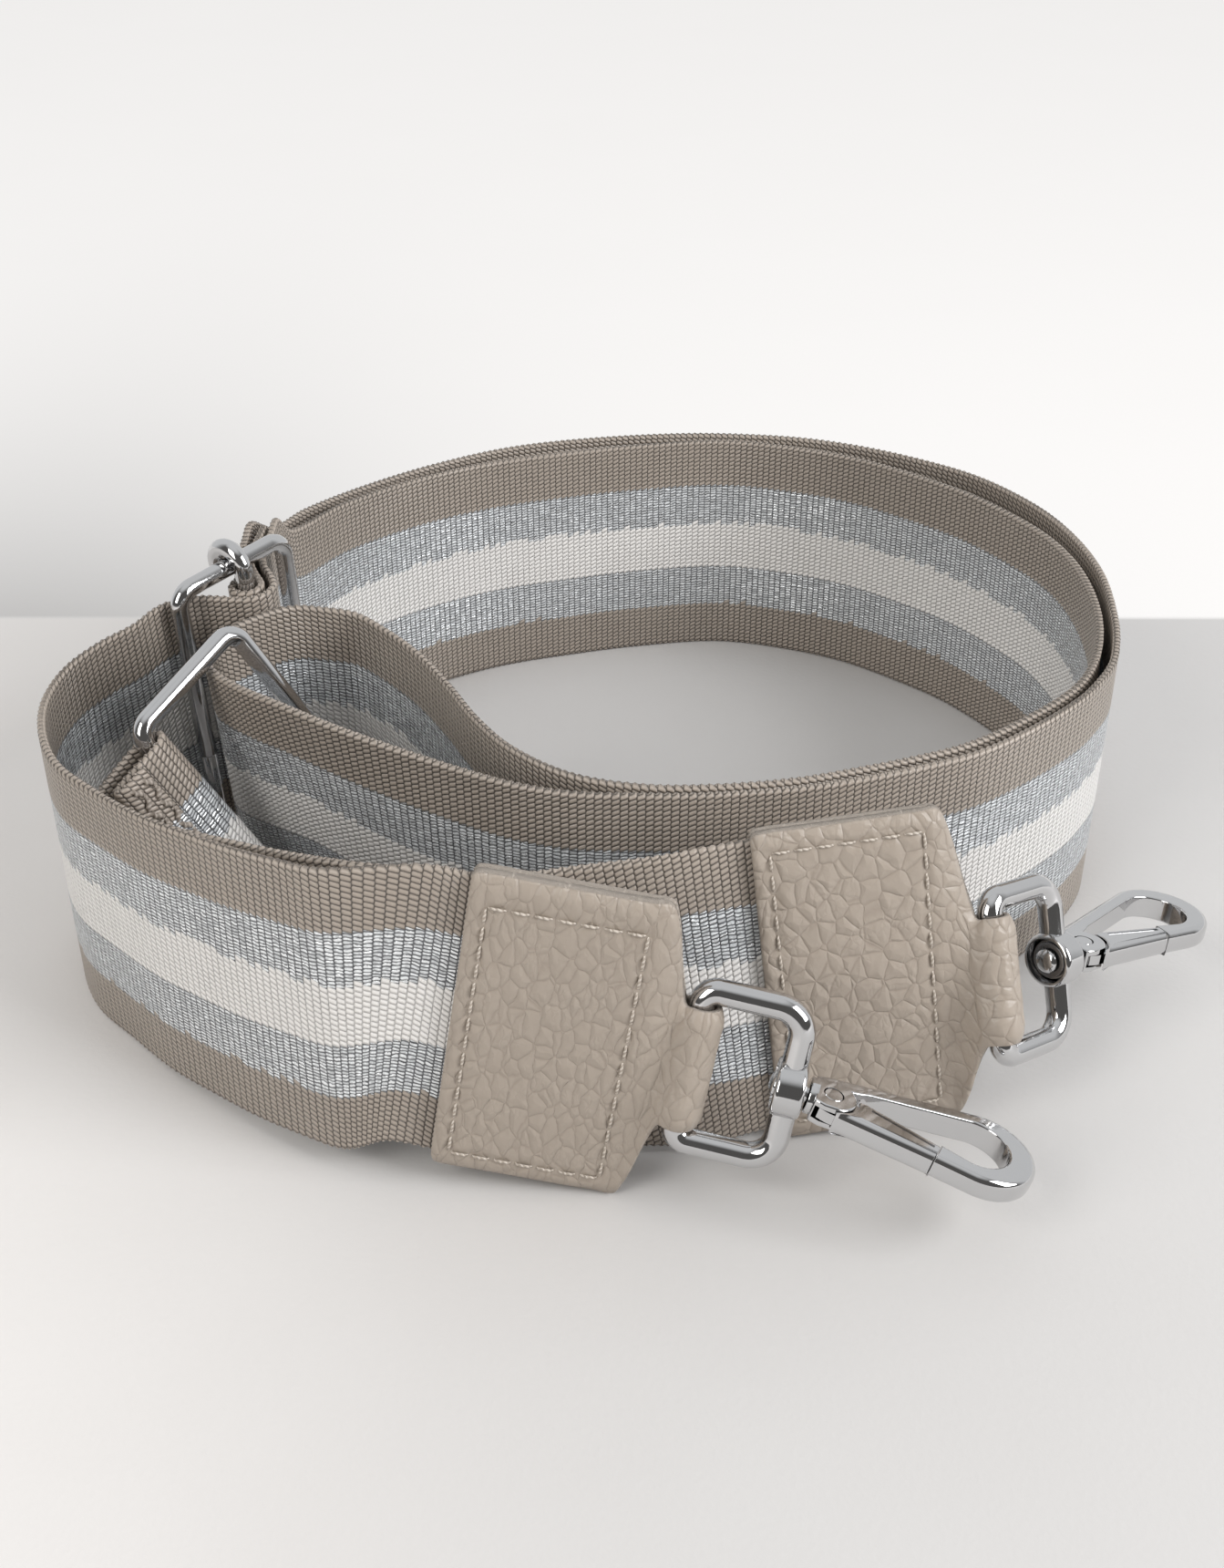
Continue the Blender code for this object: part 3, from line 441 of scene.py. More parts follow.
def on_face(frames, length, side, half):
    """Gives at(across, along, height): a point above the face of a band on one side of it."""
    def at(a, s, height):
        i = max(0, min(len(frames) - 1, round(s / length * (len(frames) - 1))))
        mid, across, out, _ = frames[i]
        return mid + across * a + out * (side * (half + height))
    return at


def linked(name, data):
    ob = bpy.data.objects.new(name, data)
    bpy.context.scene.collection.objects.link(ob)
    return ob


def faces_out(me, weld=0.0, matrix=None):
    """Turns the faces of a mesh out, after a weld and before a move where they are given."""
    bm = bmesh.new()
    bm.from_mesh(me)
    if weld:
        bmesh.ops.remove_doubles(bm, verts=bm.verts, dist=weld)
    bmesh.ops.recalc_face_normals(bm, faces=bm.faces)
    if matrix is not None:
        bm.transform(matrix)
    bm.to_mesh(me)
    bm.free()


def new_mesh(name, verts, faces, mats, values=None, face_mats=None, smooth=True):
    """Mesh object with its faces turned out and a vector attribute 'lay' for its materials."""
    me = bpy.data.meshes.new(name)
    me.from_pydata(verts, [], faces)
    for mat in mats:
        me.materials.append(mat)
    if values:
        lay = me.attributes.new("lay", "FLOAT_VECTOR", "POINT")
        lay.data.foreach_set("vector", [x for v in values for x in v])
    if face_mats:
        me.polygons.foreach_set("material_index", face_mats)
    faces_out(me)
    me.polygons.foreach_set("use_smooth", [smooth] * len(me.polygons))
    return linked(name, me)


def closed_strip(name, frames, profile, mat, length, shape):
    """Closed band through the frames. The profile goes round the section as (share across,
    side, turn), and shape(along, share, side, turn) gives how far across and out a point is."""
    verts, values, faces = [], [], []
    n = len(profile)
    last = len(frames) - 1
    for i, (mid, across, out, width) in enumerate(frames):
        s = length * i / last
        for share, side, turn in profile:
            a, o = shape(s, share, side, turn)
            p = mid + across * a + out * o
            p.z = max(p.z, floor_air)
            verts.append(p)
            values.append((a + width / 2, s, side))
    for i in range(last):
        for j in range(n):
            k = (j + 1) % n
            faces.append((i * n + j, i * n + k, (i + 1) * n + k, (i + 1) * n + j))
    faces.append(tuple(range(n))[::-1])
    faces.append(tuple(range(last * n, last * n + n)))
    return new_mesh(name, verts, faces, [mat], values)


def webbing_profile():
    """Round the section: one face, a selvedge, the other face and the other selvedge."""
    inner = web_width - 2 * selvedge
    count = round(inner / web_panel)
    face = [(-inner / 2 + inner * k / count) / web_width for k in range(count + 1)]
    turns = [math.radians(a) for a in selvedge_turns]
    profile = [(f, 1.0, None) for f in face]
    profile += [(0.5, 1.0, t) for t in turns]
    profile += [(f, -1.0, None) for f in reversed(face)]
    return profile + [(-0.5, -1.0, t) for t in reversed(turns)]


def webbing(name, rows, mat):
    """Fine webbing: flat faces, rope-like selvedges and a little unevenness."""
    even, length = even_rows(rows, web_section)
    frames = section_frames(even)
    half = web_thick / 2

    def shape(s, share, side, turn):
        if turn is None:
            wave = noise.noise(Vector((s * wave_along, share * wave_across, 0.0)))
            return share * web_width, side * half * web_face + wave * half * wave_high
        twist = math.sin(2 * math.pi * s / selvedge_pitch + turn * side * 1.2)
        r = 1.0 + 0.16 * twist
        a = web_width / 2 - selvedge + selvedge * math.cos(turn) * r
        o = half * math.sin(turn) * (1.08 + 0.12 * twist)
        return (a if side > 0 else -a), o

    ob = closed_strip(name, frames, webbing_profile(), mat, length, shape)
    return ob, length, on_face(frames, length, hem_side, half)


def loop_axes(corner, down, side):
    """Corner of a wire frame and its axes: along its long side, its short side, out of it."""
    x = unit(down)
    y = square_to(side, x)
    return place(corner), x, y, x.cross(y)


def row_at(axes, long_side, a, c):
    """Row of webbing in a wire frame: a along its short side, c out of its face."""
    o, x, y, z = axes
    high = (long_side - web_width) / 2
    p = o + y * a + z * c
    return (p + x * high, p + x * (high + web_width))


def rows_in_tab(centre_shares, across, along, runs):
    """Rows of a webbing's end in its tab, each at a run from the tab's middle."""
    centre = place(centre_shares)
    t = unit(along)
    w = square_to(across, t)
    rows = []
    for run in runs:
        p = centre + t * run
        rows.append((p + w * web_width / 2, p - w * web_width / 2))
    return rows


def long_rows():
    o, x, y, z = loop_axes(slider_corner_shares, slider_down, slider_side)
    axes = (o, x, y, z if z.x < 0 else -z)

    def slider_row(a, c):
        return row_at(axes, slider_long, a * plan_grid, c * plan_grid)

    rows = rows_in_tab(tab_a_centre_shares, tab_a_across, tab_a_along, (
        web_end, web_end - web_in_tab * 0.5, -tab_length / 2, -tab_length / 2 - web_in_tab * 0.28))
    rows += [upright_row(r) for r in leg_a_shares]
    rows += [slider_row(*r) for r in slider_run_shares]
    rows += [upright_row(r) for r in inner_back_shares + turn_shares + outer_shares]
    rows += [slider_row(*r) for r in slider_end_shares]
    wrap = slider_wire_r + fold_gap + web_thick / 2
    for deg in bar_turns:
        a = math.radians(deg)
        rows.append(row_at(axes, slider_long, slider_short / 2 + wrap * math.cos(a),
                           -slider_curl + wrap * math.sin(a)))
    return rows + [slider_row(*r) for r in slider_tail_shares]


def short_rows():
    axes = loop_axes(ring_corner_shares, ring_down, ring_side)
    wrap = ring_wire_r + fold_gap + web_thick / 2
    near = 1.0 if axes[3].y < 0 else -1.0
    tail = short_wrap_tail_share * plan_grid
    lead = short_wrap_lead_share * plan_grid
    fold = (web_thick + layer_gap) / 2

    def ring_row(a, c):
        return row_at(axes, ring_long, a, near * c)

    rows = [ring_row(hem_length * run - tail, wrap + high * fold) for run, high in hem_rise]
    for deg in hem_turns:
        a = math.radians(deg)
        rows.append(ring_row(-tail - fold * math.sin(a), wrap + fold + fold * math.cos(a)))
    rows += [ring_row(-tail, wrap), ring_row(-tail * 0.5, wrap)]
    for deg in ring_turns:
        a = math.radians(deg)
        rows.append(ring_row(wrap * math.cos(a), wrap * math.sin(a)))
    rows.append(ring_row(-lead * 0.6, -wrap))
    rows += [(place(r[:3]), place(r[3:])) for r in short_shares]
    return rows + rows_in_tab(tab_b_centre_shares, tab_b_across, tab_b_along, (
        -tab_length / 2, web_end - web_in_tab * 0.5, web_end))


class Nodes:
    """Short way to write the node tree of a material or of the world."""

    def __init__(self, owner, shader="Principled BSDF"):
        owner.use_nodes = True
        self.tree = owner.node_tree
        self.shader = self.tree.nodes[shader]

    def add(self, kind, inputs=None, **settings):
        node = self.tree.nodes.new(kind)
        for k, v in settings.items():
            setattr(node, k, v)
        for k, v in (inputs or {}).items():
            self.put(node.inputs[k], v)
        return node

    def put(self, socket, value):
        if isinstance(value, bpy.types.NodeSocket):
            self.tree.links.new(value, socket)
        else:
            socket.default_value = value

    def look(self, name, value):
        self.put(self.shader.inputs[name], value)

    def math(self, op, *values, clamp=False):
        inputs = dict(enumerate(values))
        return self.add("ShaderNodeMath", inputs, operation=op, use_clamp=clamp).outputs[0]

    def plus(self, a, b):
        return self.math("ADD", a, b)

    def minus(self, a, b):
        return self.math("SUBTRACT", a, b)

    def times(self, a, b):
        return self.math("MULTIPLY", a, b)

    def line(self, start, value, slope):
        """Start plus value times slope."""
        return self.plus(start, self.times(value, slope))

    def vector(self, op, a, b):
        return self.add("ShaderNodeVectorMath", {0: a, 1: b}, operation=op).outputs[0]

    def mix(self, factor, a, b):
        """Mix of two colours, each a socket or three numbers."""
        a, b = (c if isinstance(c, bpy.types.NodeSocket) else (*c, 1.0) for c in (a, b))
        return self.add("ShaderNodeMix", {0: factor, 6: a, 7: b}, data_type="RGBA").outputs[2]

    def ramp(self, value, low, high):
        inputs = {0: value, 1: low, 2: high}
        return self.add("ShaderNodeMapRange", inputs, interpolation_type="SMOOTHSTEP").outputs[0]

    def noise(self, vector, scale, detail, output=0):
        inputs = {"Vector": vector, "Scale": scale, "Detail": detail}
        return self.add("ShaderNodeTexNoise", inputs).outputs[output]

    def chance(self, *place_of):
        """A random number for each place of whole numbers."""
        cell = self.add("ShaderNodeCombineXYZ", dict(enumerate(place_of)))
        return self.add("ShaderNodeTexWhiteNoise", {"Vector": cell.outputs[0]}).outputs["Value"]

    def split(self, vector):
        return self.add("ShaderNodeSeparateXYZ", {0: vector}).outputs

    def lay(self):
        return self.add("ShaderNodeAttribute", attribute_name="lay").outputs["Vector"]

    def bump(self, strength, distance, height):
        inputs = {"Strength": strength, "Distance": distance, "Height": height}
        self.look("Normal", self.add("ShaderNodeBump", inputs).outputs[0])


def new_material(name):
    mat = bpy.data.materials.new(name)
    return mat, Nodes(mat)


def slanted_floats(n, across, along, rows, length, slant):
    """Height of the slanted thread floats, and the number of the row and column of each."""
    c = n.math("DIVIDE", along, length)
    col = n.math("FLOOR", c)
    x = n.minus(n.minus(c, col), 0.5)
    r = n.plus(n.math("DIVIDE", across, rows), n.times(x, slant))
    row = n.math("FLOOR", r)
    y = n.minus(n.minus(r, row), 0.5)
    far_x = n.math("POWER", n.times(n.math("ABSOLUTE", x), 2.0), float_end_power)
    far_y = n.math("POWER", n.times(n.math("ABSOLUTE", y), 2.0), float_side_power)
    left = n.math("SUBTRACT", 1.0, n.plus(far_x, far_y), clamp=True)
    return n.math("POWER", left, float_crown_power), row, col


def lurex_look(n, vector, across, along, side):
    """Silver foil threads in finer rows that waver: their colour, with painted shade between the
    floats and painted glints on random floats, their height and shine.
    """
    moved = n.line(across, n.noise(vector, foil_waver, 1.0), row_pitch * 0.9)
    fine, row, col = slanted_floats(n, moved, along, foil_pitch, float_pitch, foil_slant)
    glint = n.chance(row, col, side)
    crinkle = n.noise(vector, foil_crinkle, 1.0)
    # painted glints: random floats and crinkles are painted brighter
    painted_glint = n.ramp(n.plus(n.times(glint, 0.35), n.times(crinkle, 0.65)), 0.32, 0.62)
    glint_and_shade = n.times(n.ramp(fine, 0.35, 1.0), n.line(0.50, painted_glint, 0.50))
    colour = n.mix(glint_and_shade, shaded_under_thread, silver_thread)
    height = n.plus(n.times(fine, 0.50), n.times(crinkle, 0.25))
    return colour, height, n.ramp(glint, 0.45, 0.85)


def webbing_material():
    mat, n = new_material("striped_lurex_webbing")
    vector = n.lay()
    across, along, side = n.split(vector)
    high, row, col = slanted_floats(n, across, along, row_pitch, float_pitch, float_slant)
    chance = n.chance(row, col, side)
    centre = n.times(n.plus(row, 0.5), row_pitch)
    off = n.math("ABSOLUTE", n.minus(centre, web_width / 2))
    off = n.line(off, n.minus(chance, 0.5), row_pitch * 0.2)
    not_white = n.math("GREATER_THAN", off, stripe_edges[0])
    silver = n.minus(not_white, n.math("GREATER_THAN", off, stripe_edges[1]))
    lurex, lurex_high, shine = lurex_look(n, vector, across, along, side)

    tone = n.line(0.90, n.noise(vector, yarn_tone, 3.0), 0.20)
    tone = n.times(tone, n.line(0.93, chance, 0.14))
    # painted shade: the threads darken between the floats, by the floats' height
    gap = n.minus(painted_gap_shade_white, n.times(not_white, painted_gap_shade_white - painted_gap_shade_taupe))
    shade = n.line(gap, high, n.minus(crest_shade, gap))
    cloth = n.mix(not_white, white_thread, taupe_thread)
    cloth = n.mix(n.times(shade, tone), black, cloth)
    n.look("Base Color", n.mix(silver, cloth, lurex))
    shiny = n.times(silver, shine)
    n.look("Metallic", n.times(shiny, 0.7))
    n.look("Roughness", n.minus(0.34, n.times(shiny, 0.08)))
    height = n.plus(n.times(high, n.minus(1.0, silver)), n.times(lurex_high, silver))
    n.bump(1.0, weave_bump, height)
    return mat


def leather_creases(n, flat, sizes, bend, width):
    """Raised cells with thin creases between them: 0 in a crease, 1 beside it, and the swell."""
    bent = n.noise(flat, 0.55 / sizes[1], 2.0, output=1)
    warped = n.vector("ADD", flat, n.vector("MULTIPLY", bent, (bend, bend, 0.0)))
    scaled = n.vector("MULTIPLY", warped, (1.0 / sizes[0], 1.0 / sizes[1], 0.0))
    cells = n.add("ShaderNodeTexVoronoi", {"Vector": scaled, "Scale": 1.0},
                  feature="DISTANCE_TO_EDGE")
    far = cells.outputs["Distance"]
    return n.ramp(far, 0.0, width), n.math("POWER", n.ramp(far, 0.0, 0.40), 0.6)


def leather_material(side):
    mat, n = new_material("pebbled_leather_" + side)
    across, along, _ = n.split(n.lay())
    flat = n.add("ShaderNodeCombineXYZ", {0: across, 1: along}).outputs[0]
    wide, long = pebble_sizes[side]
    line, swell = leather_creases(n, flat, (wide, long), wide * 0.45, 0.075)
    thin, bead = leather_creases(n, flat, (wide * 0.5, long * 0.5), wide * 0.4, 0.11)
    grain = n.noise(flat, leather_grain, 3.0)
    blotch = n.noise(flat, leather_blotch, 2.0)
    # the small creases fade out in places
    fade = n.ramp(blotch, 0.40, 0.62)
    height = n.line(swell, line, 0.20)
    height = n.line(height, bead, n.times(fade, 0.30))
    n.bump(0.9, pebble_bump[side], n.line(height, grain, 0.10))
    colour = n.mix(blotch, leather_low, leather_high)
    # painted shade in the small and the main creases
    thin_crease_shade = n.times(n.minus(1.0, thin), n.times(fade, 0.22))
    colour = n.mix(thin_crease_shade, colour, leather_thin_crease_shade)
    crease_shade = n.times(n.minus(1.0, line), n.line(0.12, grain, 0.45))
    n.look("Base Color", n.mix(crease_shade, colour, leather_crease_shade))
    n.look("Roughness", n.line(0.32, grain, 0.14))
    n.look("Specular IOR Level", 0.48)
    return mat


def edge_material():
    mat, n = new_material("cut_leather_edge")
    fuzz = n.noise(n.lay(), edge_fuzz, 4.0)
    n.look("Base Color", n.mix(n.ramp(fuzz, 0.35, 0.65), edge_low, edge_high))
    n.look("Roughness", 0.85)
    n.bump(0.8, 0.0002, fuzz)
    return mat


def thread_material(name, low, high):
    mat, n = new_material(name)
    around, along, _ = n.split(n.lay())
    ply = n.math("SINE", n.plus(n.times(along, 2 * math.pi / ply_pitch), around))
    # painted shade: the thread is darker in the grooves of its twist
    n.look("Base Color", n.mix(n.ramp(ply, -1.0, 1.0), low, high))
    n.look("Roughness", 0.45)
    n.bump(0.7, 0.0001, ply)
    return mat


def metal_material(name, colour, rough, smear):
    mat, n = new_material(name)
    where = n.add("ShaderNodeTexCoord").outputs["Object"]
    cloud = n.noise(where, metal_cloud, 3.0)
    scratch = n.noise(where, metal_scratch, 2.0)
    n.look("Base Color", n.mix(cloud, [c * 0.96 for c in colour], colour))
    n.look("Metallic", 1.0)
    n.look("Roughness", n.line(rough, n.ramp(cloud, 0.45, 0.75), smear))
    n.bump(0.05, 0.00005, scratch)
    return mat


def placed(origin, x, y, z):
    m = Matrix((x, y, z)).transposed().to_4x4()
    m.translation = origin
    return m


def frame_matrix(origin, x_axis, z_axis):
    x = unit(x_axis)
    z = square_to(z_axis, x)
    return placed(origin, x, z.cross(x), z)


def round_rect(long_side, short_side, r_far, r_near, seg=12):
    """Closed outline in X and Y, centred, with rounded corners at its far and near X end."""
    pts = []
    for k, (sx, sy) in enumerate([(1, 1), (-1, 1), (-1, -1), (1, -1)]):
        r = r_far if sx > 0 else r_near
        hx, hy = long_side / 2 - r, short_side / 2 - r
        for j in range(seg + 1):
            a = math.pi / 2 * (k + j / seg)
            pts.append(Vector((sx * hx + r * math.cos(a), sy * hy + r * math.sin(a), 0.0)))
    return pts


def arc(cx, cy, r, a0, a1, count):
    return [(cx + r * math.cos(a0 + (a1 - a0) * k / count),
             cy + r * math.sin(a0 + (a1 - a0) * k / count)) for k in range(count + 1)]


def kept_mesh(tmp, name, matrix, mat, weld):
    """The shape that a curve or its modifiers make, welded, faces out, placed in the frame."""
    dg = bpy.context.evaluated_depsgraph_get()
    me = bpy.data.meshes.new_from_object(tmp.evaluated_get(dg))
    bpy.data.objects.remove(tmp, do_unlink=True)
    faces_out(me, weld, matrix)
    me.name = name
    me.materials.clear()
    me.materials.append(mat)
    me.polygons.foreach_set("use_smooth", [True] * len(me.polygons))
    return linked(name, me)


def wire(name, points, radius, closed, matrix, mat, seam=None):
    """Round wire along a path, with a butt joint at the point numbered seam."""
    cu = bpy.data.curves.new(name, "CURVE")
    cu.dimensions = "3D"
    cu.bevel_depth = radius
    cu.bevel_resolution = wire_sides // 4 - 1
    cu.use_fill_caps = not closed
    sp = cu.splines.new("POLY")
    sp.points.add(len(points) - 1)
    for i, (p, q) in enumerate(zip(sp.points, points)):
        p.co = (*q, 1.0)
        p.radius = joint_share if i == seam else 1.0
    sp.use_cyclic_u = closed
    return kept_mesh(linked(name, cu), name, matrix, mat, radius * weld_share)


def revolve(name, profile, matrix, mat):
    """Profile of (along, radius) turned about the local X axis with Screw."""
    me = bpy.data.meshes.new(name)
    verts = [(x, 0.0, r) for x, r in profile]
    me.from_pydata(verts, [(i, i + 1) for i in range(len(verts) - 1)], [])
    tmp = linked(name, me)
    screw = tmp.modifiers.new("turn", "SCREW")
    screw.axis = "X"
    screw.steps = screw_steps
    screw.render_steps = screw_steps
    return kept_mesh(tmp, name, matrix, mat, rivet_r * weld_share)


def round_edges(ob, outline, widths):
    """Rounds a prism's edges at each side of its outline, and its upright edges at bends."""
    n = len(outline)
    most = max(widths)
    weight = ob.data.attributes.new("bevel_weight_edge", "FLOAT", "EDGE")
    for edge, w in zip(ob.data.edges, weight.data):
        a, b = sorted(v % n for v in edge.vertices)
        if a != b:
            w.value = widths[b if (a == 0 and b == n - 1) else a] / most
            continue
        p, q, r = (Vector(outline[(a + k) % n]) for k in (-1, 0, 1))
        bent = abs((q - p).angle_signed(r - q, 0.0))
        w.value = min(widths[a - 1], widths[a]) / most if bent > math.radians(30) else 0.0
    round_off = ob.modifiers.new("round", "BEVEL")
    round_off.width = most
    round_off.segments = 4
    round_off.limit_method = "WEIGHT"
    round_off.use_clamp_overlap = False


def plate(name, outline, widths, low, high, matrix, mat):
    """Flat outline drawn up to a prism, each side's edges rounded by its own width."""
    n = len(outline)
    verts = [(x, y, z) for z in (low, high) for x, y in outline]
    me = bpy.data.meshes.new(name)
    faces = [tuple(range(n))[::-1], tuple(range(n, 2 * n))]
    faces += [(i, (i + 1) % n, n + (i + 1) % n, n + i) for i in range(n)]
    me.from_pydata(verts, [], faces)
    faces_out(me)
    ob = linked(name, me)
    if widths:
        round_edges(ob, outline, widths)
    me.transform(matrix)
    me.materials.append(mat)
    return ob


def combine(ob, other, kind):
    mod = ob.modifiers.new(kind.lower(), "BOOLEAN")
    mod.operation = kind
    mod.object = other
    mod.solver = "EXACT"
    return other


def cast(ob, cutters, name, mat, node, body):
    """Applies a piece's modifiers, keeps its flat faces flat and lets it ride."""
    made = kept_mesh(ob, name, Matrix.Identity(4), mat, edge_seam * 0.02)
    for c in cutters:
        bpy.data.objects.remove(c, do_unlink=True)
    made.data.set_sharp_from_angle(angle=math.radians(sharp_bend))
    even = made.modifiers.new("even", "WEIGHTED_NORMAL")
    even.keep_sharp = True
    even.weight = 80
    return hold(made, node, body)


def hold(ob, node, body):
    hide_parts(node)
    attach(ob, body)
    return ob


def outer_half(x):
    return hook_neck_half + (x - hook_neck_at) * math.tan(hook_taper)


def sweep(extra, y):
    """Where the circle that the gate's tip swings on passes a height y, and extra beyond it."""
    end = seam_at - seam_gap
    r = math.hypot(end - pivot_at, outer_half(end) - pivot_side) + extra
    return pivot_at + math.sqrt(r ** 2 - (y + pivot_side) ** 2)


def seam_curve(extra, low, high, count):
    """Points on the circle that the gate's tip swings on, from one height to the other."""
    heights = [low + (high - low) * k / 4 for k in range(count)]
    return [(sweep(extra, y), y) for y in heights]


def darken_seam(ob, m, dark):
    """The two faces that meet at the end of the gate are dull."""
    ob.data.materials.append(dark)
    back = m.inverted()
    mid = sweep(seam_line / 2, -pivot_side) - pivot_at
    for face in ob.data.polygons:
        p = back @ face.center
        from_pin = Vector((p.x - pivot_at, p.y + pivot_side, 0.0))
        looks = (back.to_3x3() @ face.normal).dot(from_pin.normalized())
        if abs(from_pin.length - mid) < seam_line and abs(looks) > 0.5:
            face.material_index = 1


def make_eye(side, eye, across, along, mat):
    """Wire eye with a boss that the hook's stud turns in."""
    name = "swivel_eye_" + side
    m = frame_matrix(eye, along, across)
    turned = m @ Matrix.Rotation(math.radians(90), 4, "X")
    pts = [p + Vector((loop_reach / 2, 0.0, 0.0))
           for p in round_rect(loop_reach, loop_width, loop_shoulder_r, loop_corner_r)]
    ob = wire(name + "_wire", pts, loop_wire_r, True, turned, mat)
    boss_m = m @ Matrix.Translation((loop_reach, 0.0, 0.0))
    r = (boss_r - loop_wire_r) * boss_round_share
    front = arc(boss_out - r, boss_r - r, r, math.pi / 2, 0.0, 4)
    back = arc(-boss_in + r, boss_r - r, r, math.pi, math.pi / 2, 4)
    boss = revolve(name + "_boss", [(-boss_in, 0.0)] + back + front + [(boss_out, 0.0)],
                   boss_m, mat)
    mouth, rim, floor = (recess_r * share for share in recess_flare)
    start, deep, end = -boss_in - loop_wire_r, -boss_in + recess_depth, boss_out + loop_wire_r
    hole = revolve(name + "_recess", [
        (start, 0.0), (start, mouth), (-boss_in, rim), (deep, floor), (deep, swivel_bore_r),
        (end, swivel_bore_r), (end, 0.0)], boss_m, mat)
    cutters = [combine(ob, boss, "UNION"), combine(ob, hole, "DIFFERENCE")]
    return cast(ob, cutters, name, mat, "hook_%s_eye" % side, "eye_" + side)


def make_stud(side, m, mat):
    neck = -boss_in + recess_depth - washer_thick - 3 * washer_gap
    top = -shank_in
    rim = neck - washer_gap * 2
    dome = [(rim - (rim - top) * math.sin(a), head_r * math.cos(a))
            for a in (math.pi / 2 * k / 9 for k in range(9, -1, -1))]
    dome[0] = (top, 0.0)
    ob = revolve("swivel_stud_" + side, dome + [(rim, shank_r), (shank_out, shank_r),
                                                (shank_out, 0.0)], m, mat)
    return cast(ob, [], "swivel_stud_" + side, mat, "hook_%s_stud" % side, "hook_" + side)


def make_washer(side, m, mat):
    x0 = -boss_in + recess_depth - washer_gap
    x1 = x0 - washer_thick
    r0 = swivel_bore_r
    soft = washer_thick * 0.3
    ob = revolve("swivel_washer_" + side, [
        (x1, r0), (x1, washer_r - soft), (x1 + soft * 0.3, washer_r - soft * 0.3),
        (x1 + soft, washer_r), (x0, washer_r), (x0, r0), (x1, r0)], m, mat)
    return cast(ob, [], "swivel_washer_" + side, mat, "hook_%s_washer" % side, "eye_" + side)


def hook_outline():
    """C-shaped outline of the hook, and the rounding of each of its sides."""
    nose_x = hook_reach - nose_r
    inner_r = (2 * nose_r - spine_wall * 2.1) / 2
    inner_x = hook_reach - nose_wall - inner_r
    a = math.pi / 2 + hook_taper
    tip = seam_at
    for _ in range(6):
        tip = sweep(seam_line, -outer_half(tip))
    pts = [(tip, -outer_half(tip))]
    pts += arc(nose_x, 0.0, nose_r, -a, a, 40)
    pts += [(hook_neck_at, hook_neck_half), (hook_base_from, hook_neck_half * base_share)]
    outer = len(pts) - 1
    pts += [(hook_base_from, -hook_neck_half * base_share)]
    low = math.asin(min(0.99, (hook_neck_half - pivot_side) / cheek_r))
    pts += [(hook_neck_at, -hook_neck_half)]
    pts += arc(pivot_at, -pivot_side, cheek_r, -low, math.radians(38), 16)
    inside = opening_from
    pts += [(inside, outer_half(inside) - spine_wall * 1.12),
            (inside + spine_wall * 0.5, outer_half(inside + spine_wall * 0.5) - spine_wall)]
    pts += arc(inner_x, 0.0, inner_r, a, -a, 32)
    low = -outer_half(seam_at) + math.cos(hook_taper) * nose_wall * 0.8
    seam = seam_curve(seam_line, low, -outer_half(tip), 4)
    widths = [edge_soft] * outer + [edge_crisp] * (len(pts) - outer) + [edge_seam] * len(seam)
    return pts + seam, widths


def pin(name, m, extra, mat):
    """Gate rivet, or with extra the hole that it sits in."""
    half = hook_thick / 2 + (extra * 2 if extra else -layer_gap * 0.1)
    turn = m @ Matrix.Translation((pivot_at, -pivot_side, 0.0)) @ Matrix.Rotation(
        math.radians(-90), 4, "Y")
    r = rivet_head_r + extra
    soft = 0.0 if extra else rivet_gap
    return revolve(name, [(-half, 0.0), (-half, r - soft), (-half + soft, r), (half - soft, r),
                          (half, r - soft), (half, 0.0)], turn, mat)


def make_hook(side, m, mat, dark):
    half = hook_thick / 2
    name = "snap_hook_" + side
    outline, widths = hook_outline()
    ob = plate(name + "_plate", outline, widths, -half, half, m, mat)
    soft = edge_crisp
    collar = revolve(name + "_collar", [
        (collar_from, 0.0), (collar_from, collar_r - soft),
        (collar_from + soft * 0.3, collar_r - soft * 0.3), (collar_from + soft, collar_r),
        (collar_to, collar_r), (collar_to, 0.0)], m, mat)
    reach = tongue_r + layer_gap
    low, top = -hook_neck_half * 1.6, reach - pivot_side
    end = opening_from * 1.02
    slot = plate(name + "_slot", [
        (slot_from, low), (slot_from, top), (slot_from + reach * 0.5, top + spring_r * 3),
        (end, top + spring_r * 3), (end, low)], None, -slot_thick / 2, slot_thick / 2, m, mat)
    bore = pin(name + "_bore", m, rivet_gap, mat)
    cutters = [combine(ob, collar, "UNION"), combine(ob, slot, "DIFFERENCE"),
               combine(ob, bore, "DIFFERENCE")]
    darken_seam(cast(ob, cutters, name, mat, "hook_%s_body" % side, "hook_" + side), m, dark)
    rivet = pin("gate_rivet_" + side, m, 0.0, mat)
    return cast(rivet, [], "gate_rivet_" + side, mat, "hook_%s_rivet" % side, "hook_" + side)


def make_tongue(name, m, mat):
    """The gate's tongue fills the slot between the cheeks, flush with their front."""
    eye = arc(pivot_at, -pivot_side, tongue_r, math.radians(60), math.radians(185), 14)
    far = pivot_at + gate_notch_r * 1.30
    back = slot_from + tongue_play
    front = [(back, -hook_neck_half * 0.72), (back + edge_crisp, -hook_neck_half * 0.88),
             (back + edge_soft, -hook_neck_half * 0.97), (pivot_at, -outer_half(pivot_at) * 0.985),
             (far, -outer_half(far) + edge_crisp), (far, tongue_half * 0.45 - pivot_side)]
    return plate(name + "_tongue", eye + front, None, -tongue_thick / 2, tongue_thick / 2, m, mat)


